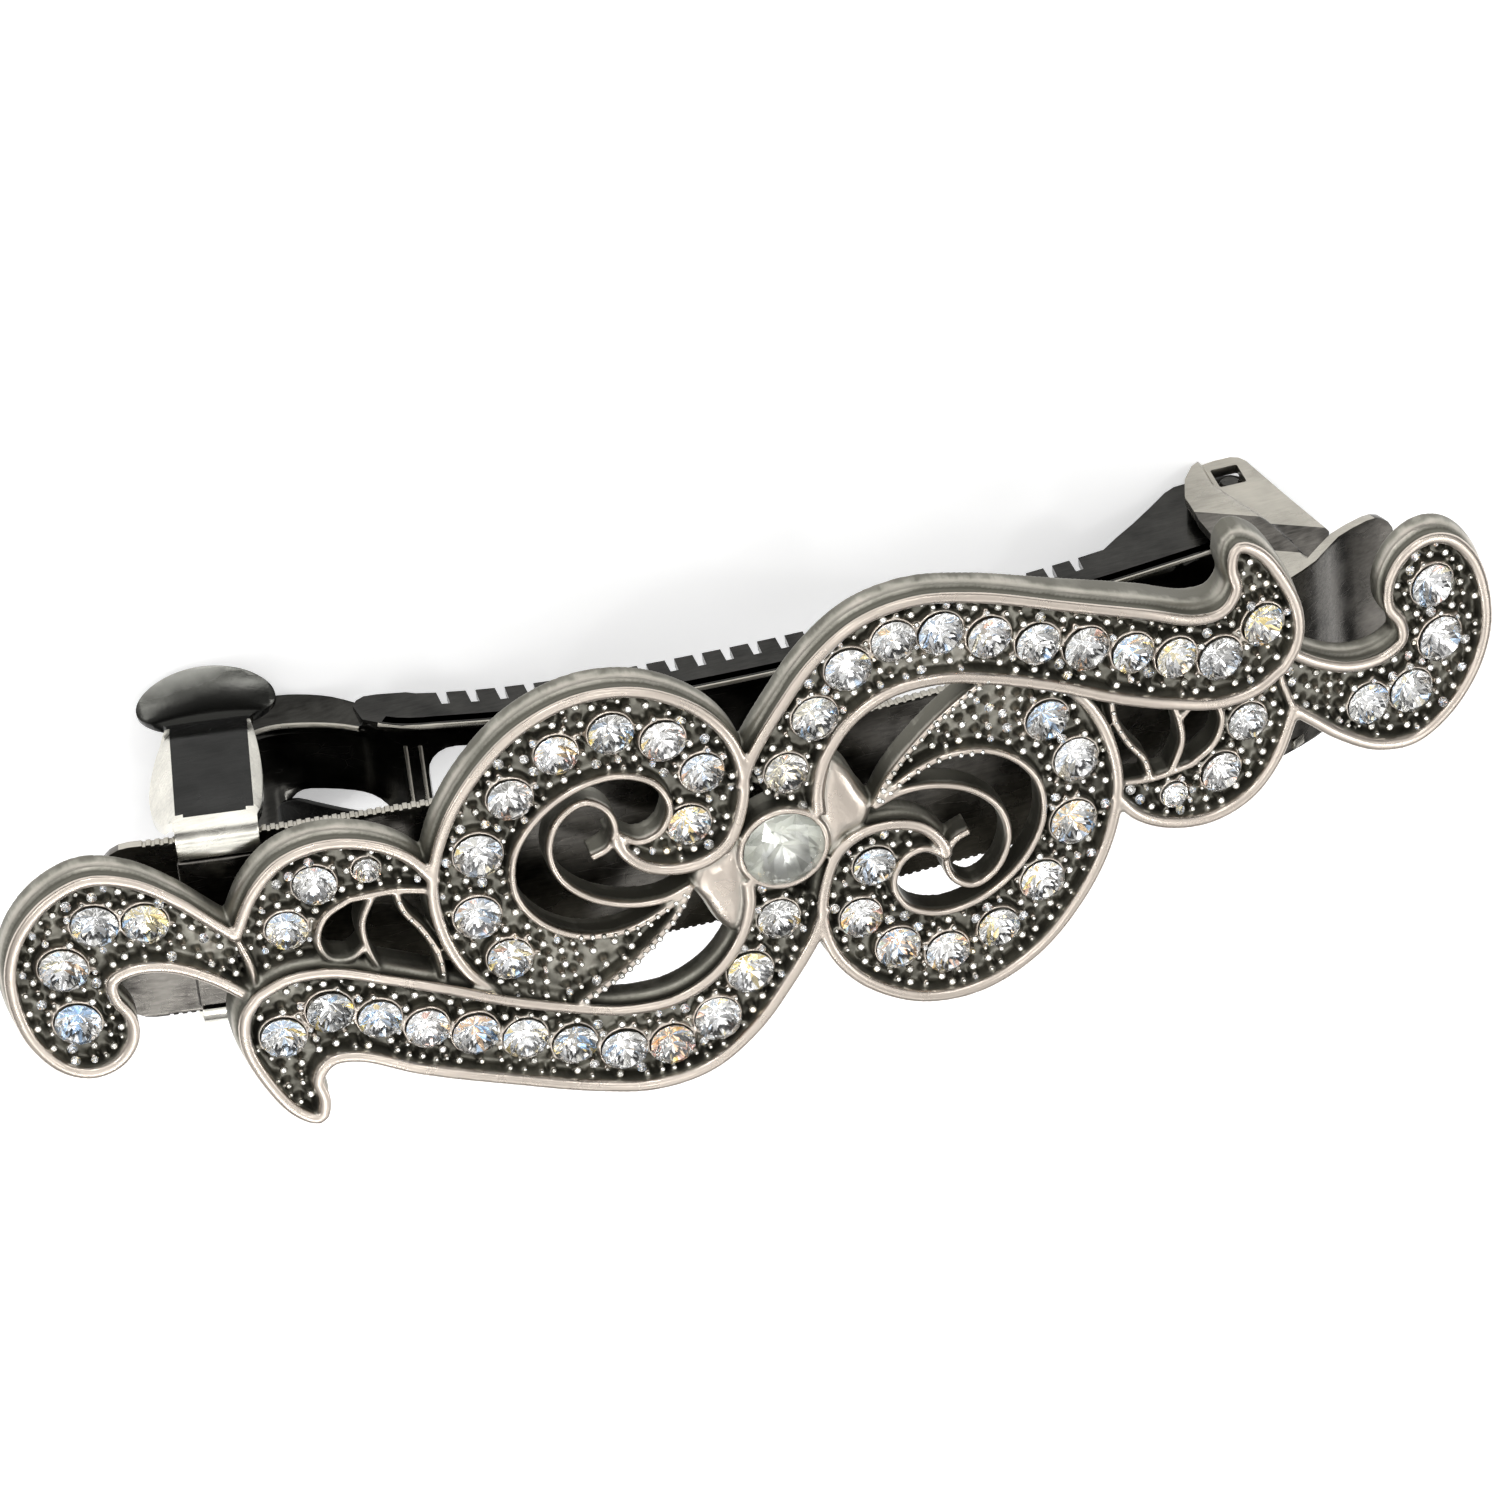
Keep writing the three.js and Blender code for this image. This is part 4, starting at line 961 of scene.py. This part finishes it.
def build_bar():
    """The slotted web, toothed flanges, flared tip, and rails and two ribs in pale nickel as painted highlights.
    """
    curve = smooth(BAR_LINE, 0.5)

    def height(x):
        return float(np.interp(x, curve[:, 0], curve[:, 1]))

    def beside(xs, rise):
        return [(x, height(x) + rise) for x in xs]

    outline = BAR_PLAN + [(x, -y) for x, y in reversed(BAR_PLAN)]
    slots = [rounded_outline(-17.2, -3.5, 3.6, 1.7), rounded_outline(4.5, 20, 3.6, 1.7),
             [(x, y - 1.4) for x, y in rounded_outline(-25, -19.3, 1.5, 1.4)]]
    verts, faces = flat_part(outline, slots, SHEET, np.arange(-30.8, 30.3, 0.8), 0.2, 3, (-4.7, 0, 4.7))
    # The web turns down into the flanges without a step.
    wide = np.where(verts[:, 0] < -20, TIP_HALF_WIDTH, BAR_HALF_WIDTH)
    verts[:, 2] -= 0.3 * np.clip((np.abs(verts[:, 1]) - wide + 0.5) / 0.5, 0, 1) ** 2
    parts = [(bend_along(verts, BAR_LINE), faces, 0)]

    flange = beside(np.arange(-20.4, 30.5, 1.0), 0.14) + KNUCKLE + beside([24.4], -3.2)
    x = FIRST_TOOTH_X
    while x > LAST_TOOTH_X:
        for dx, depth in ((0, TOOTH_TIP), (-0.04, TOOTH_ROOT), (-0.5, TOOTH_ROOT), (-0.54, TOOTH_TIP)):
            flange += beside([x + dx], -depth)
        x -= TOOTH_PITCH
    flange += beside([x], -3.25) + beside([-17.4], -3.45) + beside([-19.0], -3.2)
    flange += [(-19.8, -19.15), (-20.3, -18.9), (-20.6, -18.4)]
    hole = ring_points(PIN_X, PIN_Z, PIN_RADIUS + 0.05, 28)
    verts, faces = flat_part(flange, [hole], SHEET, np.arange(-20, 34, 1.1), 0.12)
    for side in (1, -1):
        parts.append((upright(verts, side * FLANGE_Y), faces, 0))

    # The tip's flanges flare out a little, and a bead in pale nickel runs along each crease as a painted
    # highlight.
    tip = beside(np.arange(-27, -19.6, 0.6), 0.1)
    tip += [(x, height(x) - 1.75 - 0.35 * math.sin((x + 27) / 7 * math.pi))
            for x in np.arange(-19.7, -27.1, -0.6)]
    verts, faces = flat_part(tip, [], 0.5, np.arange(-26.5, -20, 0.6), 0.12, 2, np.arange(-21.2, -17, 0.5))
    down = np.array([height(x) for x in verts[:, 0]]) - verts[:, 1]
    tip_crease = smooth(beside((-27.2, -25.4, -23.6, -21.8, -20.6), 0), 0.25)
    long_crease = smooth(beside(np.arange(-19.6, 30.5, 2), 0.05), 0.5)
    for side in (1, -1):
        wall = upright(verts, 0)
        wall[:, 1] = side * (4.12 + wall[:, 1] + 0.42 * np.clip(down, 0, 2))
        parts.append((wall, faces, 0))
        for line, y in ((tip_crease, 4.42), (long_crease, 5.0)):
            rail, rail_faces = sweep(line, ring_points(0, 0, 0.16, 8))
            rail = np.stack([rail[:, 0], side * y + rail[:, 2], rail[:, 1] + 0.06], 1)
            parts.append((rail, rail_faces, 1))
    for x in RIB_XS:
        line = np.array([(x, y) for y in np.arange(-3.8, 3.9, 0.4)])
        rib, rib_faces = sweep(line, ring_points(0, 0.25, 0.13, 8))
        parts.append((rib + (0, 0, height(x)), rib_faces, 1))
    solid_object("toothed_bar", parts, [BAR_METAL, EAR_METAL], "locking_bar", body="bar")


def build_spring():
    outline = rounded_outline(-26.2, 26.2, 2.6, 1.4)
    verts, faces = flat_part(outline, [], 0.32, np.arange(-26, 26.2, 0.8), 0.08, rows=(-2, 0, 2))
    verts[:, 2] -= 0.007 * verts[:, 1] ** 2
    verts = bend_along(verts, SPRING_LINE)
    solid_object("bowed_spring", [(verts, faces, 0)], [SPRING_METAL], "tension_spring")


def catch_point(points):
    """From the catch's own frame, which leans with the arch, to the drawing."""
    tilt = Matrix.Rotation(math.atan(CATCH_X / ARCH_RADIUS), 3, "Y")
    return points @ np.array(tilt).T + (CATCH_X, 0, PLATE_Z - arch_drop(CATCH_X))


def build_prong(name, side, body, node):
    """A foot over the plate, a bend round its edge, an arm with bowed wings, and a round finger tab."""
    length = np.r_[0, np.cumsum(np.linalg.norm(np.diff(PRONG_LINE, axis=0), axis=1))]
    total = length[-1]
    normals = left_of(PRONG_LINE)
    neck = total - TAB_LENGTH
    # Half outlines of (along, across): the straight foot, the bowed wing and the round tab.
    sides = []
    for wing in PRONG_WINGS:
        half = [(0, FOOT_HALF_WIDTH), (PRONG_BEND, PRONG_HALF_WIDTH)]
        half += [(PRONG_BEND + t * (neck - PRONG_BEND), PRONG_HALF_WIDTH + wing * math.sin(math.pi * t) ** 0.8)
                 for t in np.linspace(0.04, 1, 24)]
        half += [(total - 1.95 + 1.95 * math.sin(a), TAB_HALF_WIDTH * math.cos(a))
                 for a in np.linspace(-0.874, math.pi / 2, 26)]
        sides.append(half[:-1])
    outline = sides[0] + [(total, 0)] + [(along, -across) for along, across in reversed(sides[1])]
    verts, faces = flat_part(outline, [], SHEET, np.arange(0.3, total, 0.3), 0.17, 3,
                             np.arange(-3.6, 3.7, 0.45))
    s, x, height = verts.T
    y, z, normal_y, normal_z = (np.interp(s, length, values) for values in (*PRONG_LINE.T, *normals.T))
    on_arm = np.clip((s - PRONG_BEND) / 1.0, 0, 1) * np.clip((neck - s) / 0.9, 0, 1)
    wing = 1.15 * np.clip(np.abs(x) - 2.2, 0, 2) * on_arm
    dish = 0.03 * x * x * np.clip((s - neck) / 1.6, 0, 1)
    out = catch_point(np.stack([x, side * (y + normal_y * height - wing), z + normal_z * height + dish], 1))
    out[:, 2] = np.maximum(out[:, 2], -FACE_HEIGHT)
    # Dark steel on the arm as painted shade 0, bright nickel on the wings and foot as a painted highlight 1, tab
    # with painted sheen 2.
    lit_not_shaded = ((np.abs(x) > 2.15) & (on_arm > 0)) | (s < PRONG_BEND + 0.7)
    numbers = [2 if s[list(face)].mean() > neck + 0.15 else int(lit_not_shaded[list(face)].mean() > 0.6)
               for face in faces]
    solid_object(name, [(out, faces, numbers)], [SPRING_METAL, HIGHLIGHT_METAL, TAB_METAL], node,
                 body)


def rivet(head, shank, low, high):
    """Two domed heads on a shank, as a turned profile."""
    h = 0.6
    return [(0, low - h), (head * 0.45, low - h * 0.97), (head * 0.8, low - h * 0.72),
            (head * 0.97, low - h * 0.35), (head, low), (shank, low), (shank, high), (head, high),
            (head * 0.95, high + h * 0.4), (head * 0.75, high + h * 0.75), (head * 0.4, high + h * 0.96),
            (0, high + h)]


def build_small_parts():
    bridge = [(-2.5, -5.05), (2.5, -5.05), (2.5, 5.05), (-2.5, 5.05)]
    verts, faces = flat_part(bridge, [], SHEET, np.arange(-2, 2.1, 0.5), 0.15, 3)
    verts = catch_point(verts + (0, 0, 0.85))
    solid_object("catch_bridge_plate", [(verts, faces, 0)], [PLATE_METAL], "catch_bridge")
    verts, faces = lathe(rivet(1.7, 1.0, -0.55, 1.3), 40)
    solid_object("catch_rivet_domed", [(catch_point(verts), faces, 0)], [PIN_METAL], "catch_rivet")
    verts, faces = lathe(rivet(1.65, 1.0, -6.37, -4.5), 40)
    solid_object("spring_rivet_domed", [(verts, faces, 0)], [PIN_METAL], "spring_rivet")
    verts, faces = lathe(PIN, 40)
    verts = np.stack([verts[:, 0] + PIN_X, verts[:, 2], PIN_Z - verts[:, 1]], 1)
    solid_object("hinge_pin_turned", [(verts, faces, 0)], [BAR_METAL], "hinge_pin")
    for where, side in SIDES:
        x = side * POST_X
        verts, faces = lathe(POST, 36)
        tilt = np.array(Matrix.Rotation(math.atan(x / ARCH_RADIUS), 3, "Y"))
        verts = verts @ tilt.T + (x, side * POST_Y, -arch_drop(x))
        solid_object(f"solder_post_{where}", [(verts, faces, 0)], [PIN_METAL], f"mounting_post_{where}",
                     shift=0)


# ---- Camera, light and floor ----

# The camera's axes in the part's frame, its distance and its lens, solved from the photo.
CAMERA_BACK = Vector((-0.1643752, 0.57357644, 0.80249041))
CAMERA_RIGHT = Vector((0.95999302, -0.09395569, 0.26379108))
CAMERA_UP = Vector((0.22670289, 0.81374591, -0.53518539))
CAMERA_DISTANCE, LENS, SENSOR, SHIFT = 0.5, 211.2, 36, (-0.0231, 0.0669)
# The room: (up, grey) stops. Its clouds: low and high brightness, and where their noise starts and ends.
ROOM = ((0.0, 0.04), (0.16, 0.08), (0.36, 0.4), (0.66, 0.85), (1.0, 0.95))
CLOUDS = (0.85, 3.2, 0.56, 0.62)
# Name, place and size in metres, power in watts. The small ones make the stones flash.
LAMPS = (
    ("key", (-0.30, 0.50, 0.48), 0.12, 0.9),
    ("back", (0.12, 0.75, 0.52), 0.14, 0.9),
    ("fill", (0.55, -0.30, 0.55), 0.10, 0.5),
    ("front", (-0.20, -0.55, 0.60), 0.08, 0.5),
    ("spark_a", (0.3, 0.35, 0.7), 0.03, 0.35),
    ("spark_b", (-0.55, 0.0, 0.45), 0.03, 0.3),
    ("spark_c", (0.05, -0.15, 0.8), 0.025, 0.3),
)
LAMP_TARGET = Vector((0, 0, 0.015))


def build_studio():
    scene = bpy.context.scene
    data = bpy.data.cameras.new("camera")
    data.lens = LENS
    data.sensor_width = SENSOR
    data.shift_x, data.shift_y = SHIFT
    data.clip_start = 0.01
    data.clip_end = 20
    camera = new_object("camera", data)
    turn = Matrix((CAMERA_RIGHT, CAMERA_UP, CAMERA_BACK)).transposed().to_4x4()
    place = CAMERA_BACK * CAMERA_DISTANCE + Vector((0, 0, FACE_HEIGHT * MM))
    camera.matrix_world = Matrix.Translation(place) @ turn
    scene.camera = camera

    mesh = bpy.data.meshes.new("studio_floor")
    mesh.from_pydata([(-3, -3, 0), (3, -3, 0), (3, 3, 0), (-3, 3, 0)], [], [(0, 1, 2, 3)])
    mesh.materials.append(pale_floor())
    floor = new_object("studio_floor", mesh)

    # A dark room with a bright, cloudy ceiling, which makes the cut stones flash.
    world = bpy.data.worlds.new("studio")
    scene.world = world
    n = Nodes("studio", world)
    where = n.add("TexCoord").outputs["Generated"]
    ramp = n.add("ValToRGB", Fac=n.add("SeparateXYZ", Vector=where).outputs["Z"])
    for position, grey in ROOM:
        element = ramp.color_ramp.elements[0] if position == 0 else ramp.color_ramp.elements.new(position)
        element.position = position
        element.color = (grey, grey, grey, 1)
    clouds = n.add("TexNoise", Vector=where, Scale=4.5, Detail=1.0).outputs["Fac"]
    n.set(Color=ramp.outputs["Color"], Strength=n.span(clouds, *CLOUDS))

    for name, place, size, power in LAMPS:
        light = bpy.data.lights.new(name, "AREA")
        light.size = size
        light.energy = power
        lamp = new_object(name, light)
        lamp.location = place
        lamp.rotation_euler = (LAMP_TARGET - Vector(place)).to_track_quat("-Z", "Y").to_euler()
    scene.view_settings.view_transform = "Standard"


# ---- Assembly ----

build_studio()
places = {}
for sign in (1, -1):
    rng = np.random.default_rng(20 + sign)
    places[sign] = {name: seeds(name, rng) for name in CHANNELS}
build_casting(places)
build_stones()
build_seeds(places)
build_plate()
build_bar()
build_spring()
build_prong("back_prong", 1, "prong_back", "catch_prong_back")
build_prong("front_prong", -1, "prong_front", "catch_prong_front")
build_small_parts()
